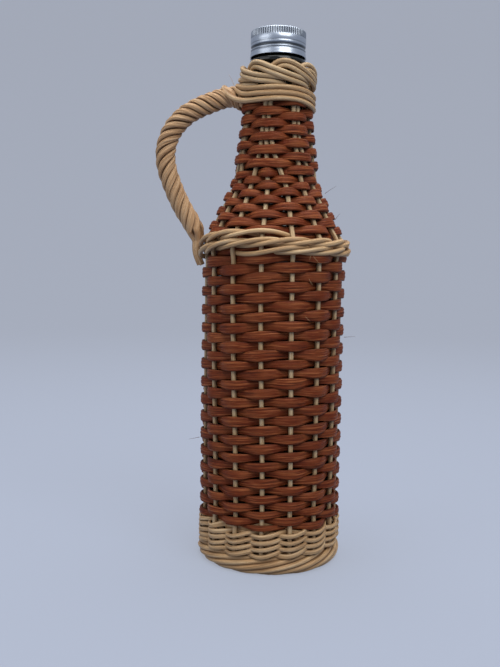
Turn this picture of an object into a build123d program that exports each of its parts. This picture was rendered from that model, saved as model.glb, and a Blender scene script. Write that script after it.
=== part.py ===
from build123d import *
import math
import os

# A glass bottle in a woven cane cover, with a roped handle and a screw cap.
# Lengths are in millimetres and angles in degrees. Z is up and the origin lies on the
# floor under the bottle's axis. The front faces -Y and the handle stands on the -X side.

# Glass bottle, each length above the shoulder stacked on the one below
body_radius = 32.3
shoulder_height = 167.4
shoulder_round = 25.0
shoulder_rise = 28.9
waist_radius = 18.05
waist_round = 25.0
neck_rise = 35.7
neck_radius = 13.3
neck_straight = 25.8
glass_wall = 3.0
glass_floor = 5.0
heel_inset = 1.6
heel_rise = 2.4
punt_radius = 22.0
punt_rise = 2.5
bead_overhang = 1.0
bead_height = 3.8
bead_slope = 0.9
finish_radius = 12.5
finish_height = 12.4
bore_radius = 9.3

# Screw cap and its liner
cap_gap = 0.7
thread_gap = 0.85
cap_wall = 0.5
cap_skin = 0.4
cap_groove_depth = 0.45
cap_groove_width = 1.6
cap_grip_band = 4.0
cap_top_edge = 0.8
cap_lip_flare = 0.3
cap_lip_height = 1.4
liner_thickness = 1.3
liner_clearance = 0.15

# Cane sizes and the clearance that keeps woven pieces apart
weave_clearance = 0.2
stake_radius = 1.2
brown_thickness = 1.2
pale_thickness = 1.7
pale_width = 2.4
wale_radius = 1.1
winding_radius = 1.35
foot_rod_radius = 1.35

# Stakes: their number, the place of the front one, and the groups that close up in the neck
stake_count = 15
front_angle = 270.0
front_stake_turn = -8.0
group_count = 7
front_group_turn = -16.0
group_slot_step = 2.5
closing_below_waist = 6.3
closed_below_winding = 17.1
short_stake_drop = 12.1
slot_shift_drop = 1.1

# Spiral of brown cane round the body
first_row_height = 24.2
tight_row_pitch = 3.4
packed_rows = 7.0
body_turns = 31.0
body_top_gap = 1.1
body_joints_shares = (0.26, 0.52, 0.76)
crest_width_share = 1.2
trough_width_share = 0.72
taper_turns = 0.55
taper_share = 0.3

# Pale rows at the foot
pale_turns = 3.55
pale_foot_gap = 1.36
foot_blend_below = 1.7
foot_blend_above = 3.8

# Wale: three pale rods that ring the shoulder twice
wale_drop = 4.2
wale_pitch = 3.75
wale_rods = 3
wale_turns = 2
wale_rod_gap = 0.12
wale_bulge = 0.9
wale_first_stake = -1
wale_blend = 5.0
wale_zone_above = 2.0
wale_climb_share = 0.2

# Spirals of brown cane round the shoulder and the neck
shoulder_rows_gap = 1.2
shoulder_first_crossing = 2
shoulder_last_crossing = 136
neck_rows_above_waist = 8.3
neck_rows_gap = 0.7
neck_last_crossing = 63
neck_top_gap = 5.25

# Collar: a rod wound round the neck, and the stake ends looped down over each other
winding_pitch = 2.75
winding_turns = 3
winding_climb_share = 0.09
loop_gap = 1.7
loop_rise = 10.0
loop_bead_gap = 1.5
loop_lean = 3.2
loop_side_share = 1.04

# Foot border of rods rolled round the foot
border_inset = 2.0
border_rod_gap = 0.073
border_flat = 0.45
border_sweep_angle = 113.0
border_roll_start_angle = 100.0
border_roll_turn_angle = 220.0

# Woven base under the glass
base_height = 6.3
base_stick_radius = 1.2
base_band_width = 3.2
base_band_thickness = 1.2
base_stick_count = 4
base_cross_margin = 2.0
base_spread_length = 4.0
base_band_inset = 1.0
base_band_end_gap = 1.29
base_band_turns = 3

# Handle: a cane core in the plane of the bottle's axis, wrapped by long strands
handle_bow = 28.0
handle_above_winding = 1.15
handle_collar_gap = 1.0
handle_tail_drop = 7.2
handle_tail_gap = 1.4
handle_core_radius = 3.1
handle_core_end_radius = 1.6
strand_width = 2.75
strand_depth = 2.0
strand_count = 5
strand_clearance = 0.15
lay_length_top = 19.0
lay_length_foot = 31.0
tail_length = 14.0
tail_roll_radius = 1.25
tail_turn = 0.0
tail_spread_turn = 0.1

# Largest twist of a four-cornered facet that still counts as flat
flatness_share = 1e-10

# Heights and radii of the glass and of its cap
glass_bottom = base_height + base_stick_radius + 2 * weave_clearance + base_band_thickness
waist_height = shoulder_height + shoulder_rise
neck_height = waist_height + neck_rise
bead_underside = neck_height + neck_straight
bead_top = bead_underside + bead_height
bead_radius = neck_radius + bead_overhang
mouth_height = bead_top + finish_height
cap_bottom = bead_top + cap_gap
cap_inner_radius = finish_radius + thread_gap
cap_radius = cap_inner_radius + cap_wall + cap_groove_depth
cap_top = mouth_height + liner_thickness + cap_skin

# Angles from one stake or group to the next, and of the front ones
stake_step = 360 / stake_count
group_step = 360 / group_count
stake_angle = front_angle + front_stake_turn
group_angle = front_angle + front_group_turn

# How far the stakes and the winding stand off the glass
stake_offset = 2 * weave_clearance + brown_thickness + stake_radius
foot_stake_offset = 2 * weave_clearance + pale_thickness + stake_radius
wale_stake_offset = 2 * weave_clearance + 2 * wale_radius + stake_radius
winding_offset = stake_offset + stake_radius + weave_clearance + winding_radius

# Foot border: its rods lie side by side round the roll
border_rod_turn = math.radians(border_roll_turn_angle * stake_step / border_sweep_angle)
border_roll_radius = (2 * foot_rod_radius + border_rod_gap) / border_rod_turn
border_outer_roll = border_roll_radius + foot_rod_radius
border_ring_radius = body_radius + foot_stake_offset - border_inset
border_roll_height = border_outer_roll - border_flat
border_top = border_roll_height + border_outer_roll

# Base: a cross, spokes that reach the border and a band wound between them
base_lane = 2 * base_stick_radius + weave_clearance / 2
base_cross_half = base_stick_count * base_lane / 2 + base_cross_margin
base_spoke_start = base_cross_half + base_spread_length
base_border_half = math.sqrt(border_outer_roll**2 - (base_height - border_roll_height)**2)
base_spoke_end = border_ring_radius - base_border_half - weave_clearance
base_band_start = base_spoke_start + base_band_inset
base_band_room = base_spoke_end - base_band_end_gap - base_band_width - base_band_start
base_band_pitch = base_band_room / base_band_turns

# Collar, stacked down from the bead
loop_base = bead_underside - loop_bead_gap - loop_rise
winding_height = loop_base - loop_gap - (winding_turns - 1) * winding_pitch
closing_start = waist_height - closing_below_waist
closing_end = winding_height - closed_below_winding
short_stake_top = winding_height - short_stake_drop
slot_shift_top = winding_height - slot_shift_drop

# Wale, and the heights where the stakes move out from the glass to let its rods behind
wale_height = shoulder_height - wale_drop
wale_top = wale_height + wale_turns * wale_pitch
wale_zone_top = wale_top + wale_zone_above
wale_swing = wale_radius + wale_rod_gap / 2
wale_front_offset = wale_stake_offset + stake_radius + weave_clearance + wale_radius
foot_stakes_top = first_row_height - foot_blend_below
foot_blend_top = first_row_height + foot_blend_above

# Pitches that spread the rows over the height between their neighbours
body_start_crossing = -stake_count / 2
body_stop_crossing = body_start_crossing + body_turns * stake_count
body_last_turn = body_stop_crossing / stake_count
packing = packed_rows * (1 - math.exp(-body_last_turn / packed_rows))
body_span = wale_height - body_top_gap - first_row_height
loose_row_pitch = (body_span - tight_row_pitch * packing) / (body_last_turn - packing)
pale_stop_crossing = body_start_crossing - 1
pale_start_crossing = pale_stop_crossing - pale_turns * stake_count
pale_span = first_row_height - border_top - pale_foot_gap
pale_pitch = pale_span * stake_count / -pale_start_crossing
shoulder_row_start = wale_top + shoulder_rows_gap
neck_row_start = waist_height + neck_rows_above_waist
shoulder_crossings = shoulder_last_crossing - shoulder_first_crossing
shoulder_span = neck_row_start - neck_rows_gap - shoulder_row_start
shoulder_pitch = shoulder_span * stake_count / shoulder_crossings
neck_span = winding_height - neck_top_gap - neck_row_start
neck_pitch = neck_span * group_count / neck_last_crossing

# Ends of the handle's line, at the collar and outside the wale
handle_top = winding_height + (winding_turns - 1) * winding_pitch / 2 + handle_above_winding
handle_foot = wale_height - handle_tail_drop
handle_top_reach = neck_radius + winding_offset + winding_radius + handle_collar_gap
handle_foot_reach = body_radius + wale_front_offset + wale_radius + handle_tail_gap

# Corners of the glass wall from the heel to the bead, and the rounds between them
wall_corners = [
    (body_radius, glass_bottom + heel_rise),
    (body_radius, shoulder_height),
    (waist_radius, waist_height),
    (neck_radius, neck_height),
    (neck_radius, bead_underside),
]
wall_rounds = [shoulder_round, waist_round, 0]

# How far each stake stands off the glass, by height
stake_offsets = [
    (border_top, foot_stake_offset),
    (foot_stakes_top, foot_stake_offset),
    (foot_blend_top, stake_offset),
    (wale_height - wale_blend, stake_offset),
    (wale_height, wale_stake_offset),
    (wale_zone_top - wale_blend / 2, wale_stake_offset),
    (wale_zone_top, stake_offset),
    (bead_underside, stake_offset),
]

# Centre line of the handle from the collar to the wale: how far it bows out from the
# straight line between its ends, and its height, as shares
handle_shares = [
    (0.0, 1.0),
    (0.42, 0.968),
    (0.735, 0.918),
    (0.98, 0.841),
    (1.09, 0.74),
    (1.045, 0.616),
    (0.803, 0.467),
    (0.522, 0.338),
    (0.306, 0.239),
    (0.2, 0.161),
    (0.137, 0.098),
    (0.072, 0.046),
    (-0.018, 0.0),
]

# Path of a looped stake end: turn in group steps, rise and outward lean as shares
loop_shares = [
    (0.03, 0.36, 0.02),
    (0.17, 0.78, 0.14),
    (0.44, 1.0, 0.4),
    (0.74, 0.93, 0.76),
    (1.02, 0.72, 1.0),
    (1.35, 0.5, 1.05),
    (1.72, 0.31, 1.0),
    (2.08, 0.22, 0.8),
]


def mix(low, high, share):
    """Value between two others at a share of the way."""
    return low + (high - low) * share


def eased(share):
    """Smooth step from 0 to 1."""
    held = min(max(share, 0), 1)
    return held * held * (3 - 2 * held)


def along_table(table, place):
    """Value read from a table of places and values, straight between its rows."""
    for (low, low_value), (high, high_value) in zip(table, table[1:]):
        if place <= high:
            share = max(place - low, 0) / (high - low)
            return mix(low_value, high_value, share)
    return table[-1][1]


def wall_at(height):
    """Radius of the glass wall at a height, and how far it leans in, in radians."""
    joined = zip(wall_corners, wall_corners[1:], wall_corners[2:], wall_rounds)
    for (r0, z0), (r1, z1), (r2, z2), bend in joined:
        lean_below = math.atan2(r0 - r1, z1 - z0)
        lean_above = math.atan2(r1 - r2, z2 - z1)
        reach = bend * math.tan(abs(lean_above - lean_below) / 2)
        low = z1 - reach * math.cos(lean_below)
        high = z1 + reach * math.cos(lean_above)
        if height < low:
            return r1 + (z1 - height) * math.tan(lean_below), lean_below
        if height < high:
            side = math.copysign(bend, lean_above - lean_below)
            centre_r = r1 + reach * math.sin(lean_below) - side * math.cos(lean_below)
            centre_z = low - side * math.sin(lean_below)
            lean = math.asin((height - centre_z) / side)
            return centre_r + side * math.cos(lean), lean
    return neck_radius, lean_above


def polar(radius, angle, height):
    """Point at a radius and angle round the bottle's axis."""
    turn = math.radians(angle)
    return Vector(radius * math.cos(turn), radius * math.sin(turn), height)


def on_wall(angle, height, offset, rise=0):
    """Point outside the glass: offset square to the wall, and rise up along it."""
    radius, lean = wall_at(height)
    reach = radius + offset * math.cos(lean) - rise * math.sin(lean)
    level = height + offset * math.sin(lean) + rise * math.cos(lean)
    return polar(reach, angle, level)


def out_of_wall(angle, height):
    """Direction square to the glass wall."""
    lean = wall_at(height)[1]
    return polar(math.cos(lean), angle, math.sin(lean))


def flat_faces(corners):
    """One face for four corners in a plane, or two triangles."""
    first, second, third, fourth = corners
    normal = (second - first).cross(fourth - first).normalized()
    size = (third - first).length
    if abs((third - first).dot(normal)) < size * flatness_share:
        return [Face(Wire.make_polygon(corners, close=True))]
    halves = ([first, second, third], [first, third, fourth])
    return [Face(Wire.make_polygon(half, close=True)) for half in halves]


def facet_solid(sections):
    """Closed solid whose flat facets join each section to the next."""
    sides = len(sections[0])
    faces = []
    for near, far in zip(sections, sections[1:]):
        for corner in range(sides):
            following = (corner + 1) % sides
            faces += flat_faces([near[corner], far[corner], far[following], near[following]])
    faces.append(Face(Wire.make_polygon(sections[0], close=True)))
    faces.append(Face(Wire.make_polygon(sections[-1], close=True)))
    return Solid(Shell(faces))


def strand(centres, outs, width, depth, sides=4):
    """Rod along a line of centres, with its depth towards the outward directions."""
    sections = []
    last = len(centres) - 1
    for index, (centre, out) in enumerate(zip(centres, outs)):
        along = (centres[min(index + 1, last)] - centres[max(index - 1, 0)]).normalized()
        side = along.cross(out).normalized()
        up = side.cross(along)
        corners = [2 * math.pi * corner / sides for corner in range(sides)]
        sections.append([
            centre + side * (width / 2 * math.cos(turn)) + up * (depth / 2 * math.sin(turn))
            for turn in corners
        ])
    return facet_solid(sections)


def band(stations, thickness):
    """Flat band through stations of angle, height, offset and width."""
    half = thickness / 2
    sections = []
    for angle, height, offset, width in stations:
        corners = ((-half, -width / 2), (half, -width / 2), (half, width / 2), (-half, width / 2))
        sections.append([
            on_wall(angle, height, offset + depth, rise)
            for depth, rise in corners
        ])
    return facet_solid(sections)


def turned(points, radii):
    """Solid turned round the bottle's axis from an outline of radius and height."""
    outline = FilletPolyline(points, radius=radii)
    spine = Line(points[-1], points[0])
    face = Face(Wire([*outline.edges(), spine.edge()]))
    return revolve(Plane.XZ * face, Axis.Z)


def make_glass():
    """Bottle with a round shoulder, a long neck, a bead and a plain finish."""
    outer = [
        (0, glass_bottom + punt_rise),
        (punt_radius, glass_bottom),
        (body_radius - heel_inset, glass_bottom),
        *wall_corners,
        (bead_radius, bead_underside + bead_slope),
        (bead_radius, bead_top - bead_slope),
        (finish_radius, bead_top),
        (finish_radius, mouth_height),
        (0, mouth_height),
    ]
    outer_rounds = [0, 0, 0, *wall_rounds, 0, 0, 0, 0, 0]
    inner_body = body_radius - glass_wall
    inner_floor = glass_bottom + glass_floor
    cavity = [
        (0, inner_floor),
        (inner_body - heel_inset, inner_floor),
        (inner_body, inner_floor + heel_rise),
        (inner_body, shoulder_height - glass_wall / 2),
        (waist_radius - glass_wall, waist_height - glass_wall / 2),
        (bore_radius, neck_height),
        (bore_radius, mouth_height),
        (0, mouth_height),
    ]
    return turned(outer, outer_rounds) - turned(cavity, [0] * (len(cavity) - 2))


def make_cap():
    """Thin metal cap: a flared lip, a rolled groove, a grip band and a flat top."""
    groove_top = cap_top - cap_grip_band
    groove_floor = cap_radius - cap_groove_depth
    shell = [
        (0, cap_bottom),
        (cap_radius + cap_lip_flare, cap_bottom),
        (cap_radius, cap_bottom + cap_lip_height),
        (cap_radius, groove_top - cap_groove_width),
        (groove_floor, groove_top - cap_groove_width / 2),
        (cap_radius, groove_top),
        (cap_radius, cap_top - cap_top_edge),
        (cap_radius - cap_top_edge, cap_top),
        (0, cap_top),
    ]
    hollow = [
        (0, cap_bottom),
        (cap_inner_radius, cap_bottom),
        (cap_inner_radius, cap_top - cap_skin),
        (0, cap_top - cap_skin),
    ]
    return turned(shell, [0] * (len(shell) - 2)) - turned(hollow, [0, 0])


def make_liner():
    """Soft disc between the cap's top and the mouth."""
    seat = Plane.XY.offset(mouth_height)
    disc = Circle(cap_inner_radius - liner_clearance)
    return extrude(seat * disc, amount=liner_thickness)


def slot_of(stake):
    """Group that a stake joins in the neck, and its slot low and high in the group."""
    if stake in (-1, 0, 1):
        return 0, stake, (stake + 0.5 if stake < 1 else stake)
    group, place = divmod(stake - 2, 2)
    return group + 1, place - 0.5, place - 0.5


def stake_turn(stake, height):
    """Angle of a stake at a height: upright on the body, closing on its group in the neck."""
    group, low_slot, high_slot = slot_of(stake)
    shift = eased((height - closing_end) / (slot_shift_top - closing_end))
    radius = wall_at(height)[0] + stake_offset
    aside = math.degrees(mix(low_slot, high_slot, shift) * group_slot_step / radius)
    closed = group_angle + group * group_step + aside
    closing = eased((height - closing_start) / (closing_end - closing_start))
    return mix(stake_angle + stake * stake_step, closed, closing)


def loop_points(stake):
    """Looped end of a stake in the collar, laid beside its neighbour in the group."""
    group, low_slot, slot = slot_of(stake)
    centre_angle = group_angle + group * group_step
    base_radius = neck_radius + stake_offset
    path = []
    for turn, rise, lean in loop_shares:
        level = loop_base + rise * loop_rise
        path.append((turn * group_step, level, base_radius + lean * loop_lean))
    points = []
    for index, (turn, level, radius) in enumerate(path):
        before = path[max(index - 1, 0)]
        after = path[min(index + 1, len(path) - 1)]
        across = math.radians(after[0] - before[0]) * radius
        upward = after[1] - before[1]
        length = math.hypot(across, upward)
        aside = slot * group_slot_step * loop_side_share
        side_turn = math.degrees(aside * upward / length / radius)
        angle = centre_angle + turn + side_turn
        points.append((angle, level - aside * across / length, radius))
    return points


def make_stake(stake):
    """One upright stake from the foot border to the collar, its end looped over."""
    top = short_stake_top if stake == 1 else loop_base
    heights = [
        border_top + weave_clearance,
        foot_stakes_top,
        foot_blend_top,
        wale_height - wale_blend,
        wale_height,
        (wale_height + wale_zone_top) / 2,
        wale_zone_top,
        closing_start - wale_blend,
    ]
    closing_steps = 6
    for step in range(closing_steps):
        heights.append(mix(closing_start, closing_end, step / closing_steps))
    heights += [height for height in (closing_end, neck_height, slot_shift_top) if height < top]
    heights.append(top)
    centres = []
    outs = []
    for height in heights:
        angle = stake_turn(stake, height)
        centres.append(on_wall(angle, height, along_table(stake_offsets, height)))
        outs.append(out_of_wall(angle, height))
    if top == loop_base:
        for angle, level, radius in loop_points(stake):
            centres.append(polar(radius, angle, level))
            outs.append(polar(1, angle, 0))
    return strand(centres, outs, 2 * stake_radius, 2 * stake_radius)


def crest_offset(height, step, thickness, folds=1):
    """Offset of a band that folds over a stake, just clear of the round stake."""
    stand = along_table(stake_offsets, height)
    radius = wall_at(height)[0] + stand
    stride = radius * math.radians(step)
    fold = math.radians(step) / 2 + math.atan((2 * stake_radius + thickness) / stride)
    return stand + stake_radius / math.cos(fold / folds) + weave_clearance + thickness / 2


def behind_offset(height, thickness, gap=0):
    """Offset of a band behind stakes that stand a gap in degrees apart, clear of the glass."""
    radius = wall_at(height)[0]
    chord = (radius + weave_clearance) / math.cos(math.radians(gap) / 2)
    return chord - radius + thickness / 2


def woven(first, last, height_at, width_at, thickness, phase):
    """Band that passes over one stake and behind the next, between two crossings."""
    inner = range(math.floor(first) + 1, math.ceil(last))
    stations = []
    for crossing in (first, *inner, last):
        height = height_at(crossing)
        over = abs((crossing + phase) % 2 - 1)
        behind = behind_offset(height, thickness)
        offset = mix(behind, crest_offset(height, stake_step, thickness), over)
        angle = stake_turn(0, 0) + crossing * stake_step
        near = round(crossing)
        drift = stake_turn(wrapped(near), height) - stake_turn(wrapped(near), 0)
        stations.append((angle + drift, height, offset, width_at(crossing, over)))
    return band(stations, thickness)


def wrapped(crossing):
    """Number of the stake at a crossing, from the one left of the front stake onward."""
    return (crossing + 1) % stake_count - 1


def body_row(turn):
    """Height of the brown spiral after a number of turns from the front stake."""
    packing = 1 - math.exp(-turn / packed_rows)
    eased_rise = (loose_row_pitch - tight_row_pitch) * packed_rows * packing
    return first_row_height + loose_row_pitch * turn - eased_rise


def body_pitch(turn):
    """Distance between one turn of the brown spiral and the next."""
    return loose_row_pitch - (loose_row_pitch - tight_row_pitch) * math.exp(-turn / packed_rows)


def along_slope(pitch, height):
    """Distance between rows along the leaning wall, from their pitch in height."""
    return pitch / math.cos(wall_at(height)[1])


def width_share(over):
    """Width of brown cane in row pitches: full over a stake, pinched behind one."""
    return mix(trough_width_share, crest_width_share, over)


def make_body_weavers():
    """Lengths of brown cane that follow one another in a spiral up the body."""
    start = body_start_crossing
    stop = body_stop_crossing

    def taper(turn):
        from_end = min(turn - start / stake_count, body_last_turn - turn)
        return mix(taper_share, 1, min(from_end / taper_turns, 1))

    def row_height(crossing):
        turn = crossing / stake_count
        lost = (1 - taper(turn)) * body_pitch(turn) / 2
        at_start = turn < body_turns / 2
        return body_row(turn) + (lost if at_start else -lost)

    def row_width(crossing, over):
        turn = crossing / stake_count
        return body_pitch(turn) * width_share(over) * taper(turn)

    tuck = 0.05
    joins = [odd_crossing(mix(start, stop, share)) for share in body_joints_shares]
    starts = [start, *[join + tuck for join in joins]]
    stops = [*[join - tuck for join in joins], stop]
    return [
        woven(first, last, row_height, row_width, brown_thickness, 0)
        for first, last in zip(starts, stops)
    ]


def odd_crossing(crossing):
    """Nearest crossing where the brown cane passes behind a stake."""
    return 2 * math.floor(crossing / 2) + 1


def make_pale_weaver():
    """Thin pale cane that winds up the foot to meet the brown rows."""
    def row_height(crossing):
        return first_row_height + pale_pitch * crossing / stake_count

    def row_width(crossing, over):
        return pale_width

    first = pale_start_crossing
    last = pale_stop_crossing
    return woven(first, last, row_height, row_width, pale_thickness, 0)


def make_shoulder_weaver():
    """Brown cane round the shoulder, over and behind single stakes."""

    def row_height(crossing):
        turns = (crossing - shoulder_first_crossing) / stake_count
        return shoulder_row_start + shoulder_pitch * turns

    def row_width(crossing, over):
        return along_slope(shoulder_pitch, row_height(crossing)) * width_share(over)

    first = shoulder_first_crossing - 0.5
    last = shoulder_last_crossing + 0.5
    return woven(first, last, row_height, row_width, brown_thickness, 0)


def make_neck_weaver():
    """Brown cane round the neck, over and behind the gathered groups of stakes."""
    stations = []
    for crossing in range(neck_last_crossing + 1):
        height = neck_row_start + neck_pitch * crossing / group_count
        over = 1 - crossing % 2
        group = (crossing + 1) % group_count
        gathered = [
            stake for stake in range(-1, stake_count - 1)
            if slot_of(stake)[0] == group and (stake != 1 or height < short_stake_top)
        ]
        angles = [stake_turn(stake, height) for stake in gathered]
        gap = angles[1] - angles[0]
        crest = crest_offset(height, group_step - gap, brown_thickness, folds=2)
        offset = crest if over else behind_offset(height, brown_thickness, gap)
        width = along_slope(neck_pitch, height) * width_share(over)
        for angle in angles:
            stations.append((angle, height, offset, width))
    return band(stations, brown_thickness)


def make_wale_rods():
    """Rods of the wale: each passes before two stakes, behind the third, and climbs."""
    rods = []
    for number in range(wale_rods):
        centres = []
        outs = []
        for step in range(2 * wale_turns * stake_count + 1):
            phase = step / 2 % wale_rods
            crossing = number + step / 2
            turns = crossing / stake_count
            climb = math.floor(turns) + eased((turns % 1 - 1) / wale_climb_share + 1)
            height = wale_height + wale_pitch * climb
            stand = along_table(stake_offsets, height)
            front = stand + stake_radius + weave_clearance + wale_radius
            behind = weave_clearance + wale_radius
            offset, rise = {
                0: (behind, 0),
                0.5: (mix(behind, front, 0.5), -wale_swing),
                1: (front, -wale_swing),
                1.5: (front + wale_bulge, 0),
                2: (front, wale_swing),
                2.5: (mix(behind, front, 0.5), wale_swing),
            }[phase]
            angle = stake_angle + (wale_first_stake + crossing) * stake_step
            centres.append(on_wall(angle, height, offset, rise))
            outs.append(out_of_wall(angle, height))
        rods.append(strand(centres, outs, 2 * wale_radius, 2 * wale_radius))
    return rods


def make_winding():
    """Rod wound round the gathered stakes, climbing from turn to turn beside the handle."""
    steps = 22
    centres = []
    outs = []
    for step in range(winding_turns * steps + 1):
        turns = step / steps
        climb = math.floor(turns) + eased((turns % 1 - 1) / winding_climb_share + 1)
        angle = front_angle - 90 + turns * 360
        centres.append(on_wall(angle, winding_height + winding_pitch * climb, winding_offset))
        outs.append(polar(1, angle, 0))
    return strand(centres, outs, 2 * winding_radius, 2 * winding_radius)


def make_border_rods():
    """Fifteen rods that roll round each other in the foot border, flat where they stand."""
    floor = Pos(0, 0, -border_ring_radius) * Box(
        4 * border_ring_radius, 4 * border_ring_radius, 2 * border_ring_radius
    )
    steps = 8
    rods = []
    for stake in range(stake_count):
        centres = []
        outs = []
        for step in range(steps + 1):
            share = step / steps
            angle = stake_angle + stake * stake_step - share * border_sweep_angle
            roll = math.radians(border_roll_start_angle - share * border_roll_turn_angle)
            radius = border_ring_radius + border_roll_radius * math.cos(roll)
            level = border_roll_height + border_roll_radius * math.sin(roll)
            centres.append(polar(radius, angle, level))
            outs.append(polar(math.cos(roll), angle, math.sin(roll)))
        rod = strand(centres, outs, 2 * foot_rod_radius, 2 * foot_rod_radius)
        rods.append((rod - floor).solids().sort_by(SortBy.VOLUME)[-1])
    return rods


def make_base_sticks(upper):
    """Parallel sticks of one layer of the base, their ends spread out evenly."""
    layer = base_stick_radius + weave_clearance / 2
    level = base_height + (layer if upper else -layer)
    sticks = []
    for number in range(base_stick_count):
        from_middle = number - (base_stick_count - 1) / 2
        aside = from_middle * base_lane
        spread = from_middle * 180 / (2 * base_stick_count)
        centres = []
        for side, turn in ((-1, 180 - spread), (1, spread)):
            far = polar(base_spoke_end, turn, base_height)
            bend = polar(base_spoke_start, turn, base_height)
            near = Vector(side * base_cross_half, aside, level)
            centres += [far, bend, near] if side < 0 else [near, bend, far]
        outs = [Vector(0, 0, 1)] * len(centres)
        rod = strand(centres, outs, 2 * base_stick_radius, 2 * base_stick_radius)
        sticks.append(Rot(0, 0, 90) * rod if upper else rod)
    return sticks


def make_base_weaver():
    """Flat cane that winds out from the cross, over one spoke and under the next."""
    half = base_band_thickness / 2
    swing = base_stick_radius + weave_clearance + half
    spokes = 4 * base_stick_count
    sections = []
    for crossing in range(base_band_turns * spokes + 1):
        turns = crossing / spokes
        angle = 360 / spokes / 2 + turns * 360
        above = (crossing + crossing // spokes) % 2
        level = base_height + (swing if above else -swing)
        inner = base_band_start + base_band_pitch * turns
        outer = inner + base_band_width
        sections.append([
            polar(inner, angle, level - half),
            polar(outer, angle, level - half),
            polar(outer, angle, level + half),
            polar(inner, angle, level + half),
        ])
    return facet_solid(sections)


# Handle line, drawn once and measured for its core and strands
handle_points = [
    (
        -mix(handle_foot_reach, handle_top_reach, level) - bow * handle_bow,
        0,
        mix(handle_foot, handle_top, level),
    )
    for bow, level in handle_shares
]
handle_line = Spline(*handle_points)
handle_length = handle_line.length
core_length = handle_length - tail_length


def handle_frame(distance):
    """Place on the handle's line, and its directions outward and sideways."""
    place = handle_line.position_at(distance, position_mode=PositionMode.LENGTH)
    along = handle_line.tangent_at(distance, position_mode=PositionMode.LENGTH)
    sideways = Vector(0, 1, 0)
    return place, along.cross(sideways), sideways


def core_radius_at(distance):
    """Radius of the handle's core, drawn in over the tail's length before its end."""
    share = eased((distance - core_length + tail_length) / tail_length)
    return mix(handle_core_radius, handle_core_end_radius, share)


def make_handle_core():
    """Bundle of cane under the wrapping, thinner at the lower end."""
    steps = 14
    sections = []
    for step in range(steps + 1):
        distance = core_length * step / steps
        place, out, sideways = handle_frame(distance)
        radius = core_radius_at(distance)
        turns = [2 * math.pi * corner / 6 for corner in range(6)]
        sections.append([
            place + out * (radius * math.cos(turn)) + sideways * (radius * math.sin(turn))
            for turn in turns
        ])
    return facet_solid(sections)


def lay_turns(distance):
    """Turns that a strand still makes before the core's end, its lay growing longer downward."""
    growth = (lay_length_foot - lay_length_top) / core_length
    lay_here = lay_length_top + growth * distance
    return math.log(lay_length_foot / lay_here) / growth


def make_handle_strands():
    """Strands wrapped side by side; two run on past the core and tuck under the wale."""
    strands = []
    for number in range(strand_count):
        long = number in (0, 2)
        stop = handle_length if long else core_length
        steps = round(stop / handle_length * 44)
        centres = []
        outs = []
        for step in range(steps + 1):
            distance = stop * step / steps
            place, out, sideways = handle_frame(distance)
            wrap = core_radius_at(distance) + strand_clearance + strand_depth / 2
            past = eased((distance - core_length) / (tail_length / 2))
            roll_radius = mix(wrap, tail_roll_radius, past)
            turns = tail_turn + number / strand_count - lay_turns(min(distance, core_length))
            turns += past * (tail_spread_turn if number else 0)
            roll = 2 * math.pi * turns
            direction = out * math.cos(roll) - sideways * math.sin(roll)
            centres.append(place + direction * roll_radius)
            outs.append(direction)
        strands.append(strand(centres, outs, strand_width, strand_depth))
    return strands


def write(name, solids):
    """Write one piece, or a group of like pieces, under its name."""
    group = list(solids) if isinstance(solids, (list, tuple)) else [solids]
    shape = group[0] if len(group) == 1 else Compound(group)
    export_step(shape, os.path.join("parts", name + ".step"))


def write_numbered(name, solids):
    """Write like pieces as separate numbered pieces."""
    for number, solid in enumerate(solids, start=1):
        write(f"{name}_{number}", solid)


os.makedirs("parts", exist_ok=True)
write("glass_bottle", make_glass())
write("screw_cap", make_cap())
write("cap_liner", make_liner())
for stake in range(-1, stake_count - 1):
    write(f"stake_{stake + 2:02d}", make_stake(stake))
write_numbered("body_weaver", make_body_weavers())
write("foot_weaver", make_pale_weaver())
write("shoulder_weaver", make_shoulder_weaver())
write("neck_weaver", make_neck_weaver())
write_numbered("wale_rod", make_wale_rods())
write("collar_winding", make_winding())
write("foot_border", make_border_rods())
write("base_sticks_lower", make_base_sticks(False))
write("base_sticks_upper", make_base_sticks(True))
write("base_weaver", make_base_weaver())
write("handle_core", make_handle_core())
write_numbered("handle_strand", make_handle_strands())
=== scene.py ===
import logging
import math
from collections.abc import Callable, Iterator, Sequence
from dataclasses import dataclass
from enum import Enum

import bpy
import numpy as np
from mathutils import Matrix, Vector

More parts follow.
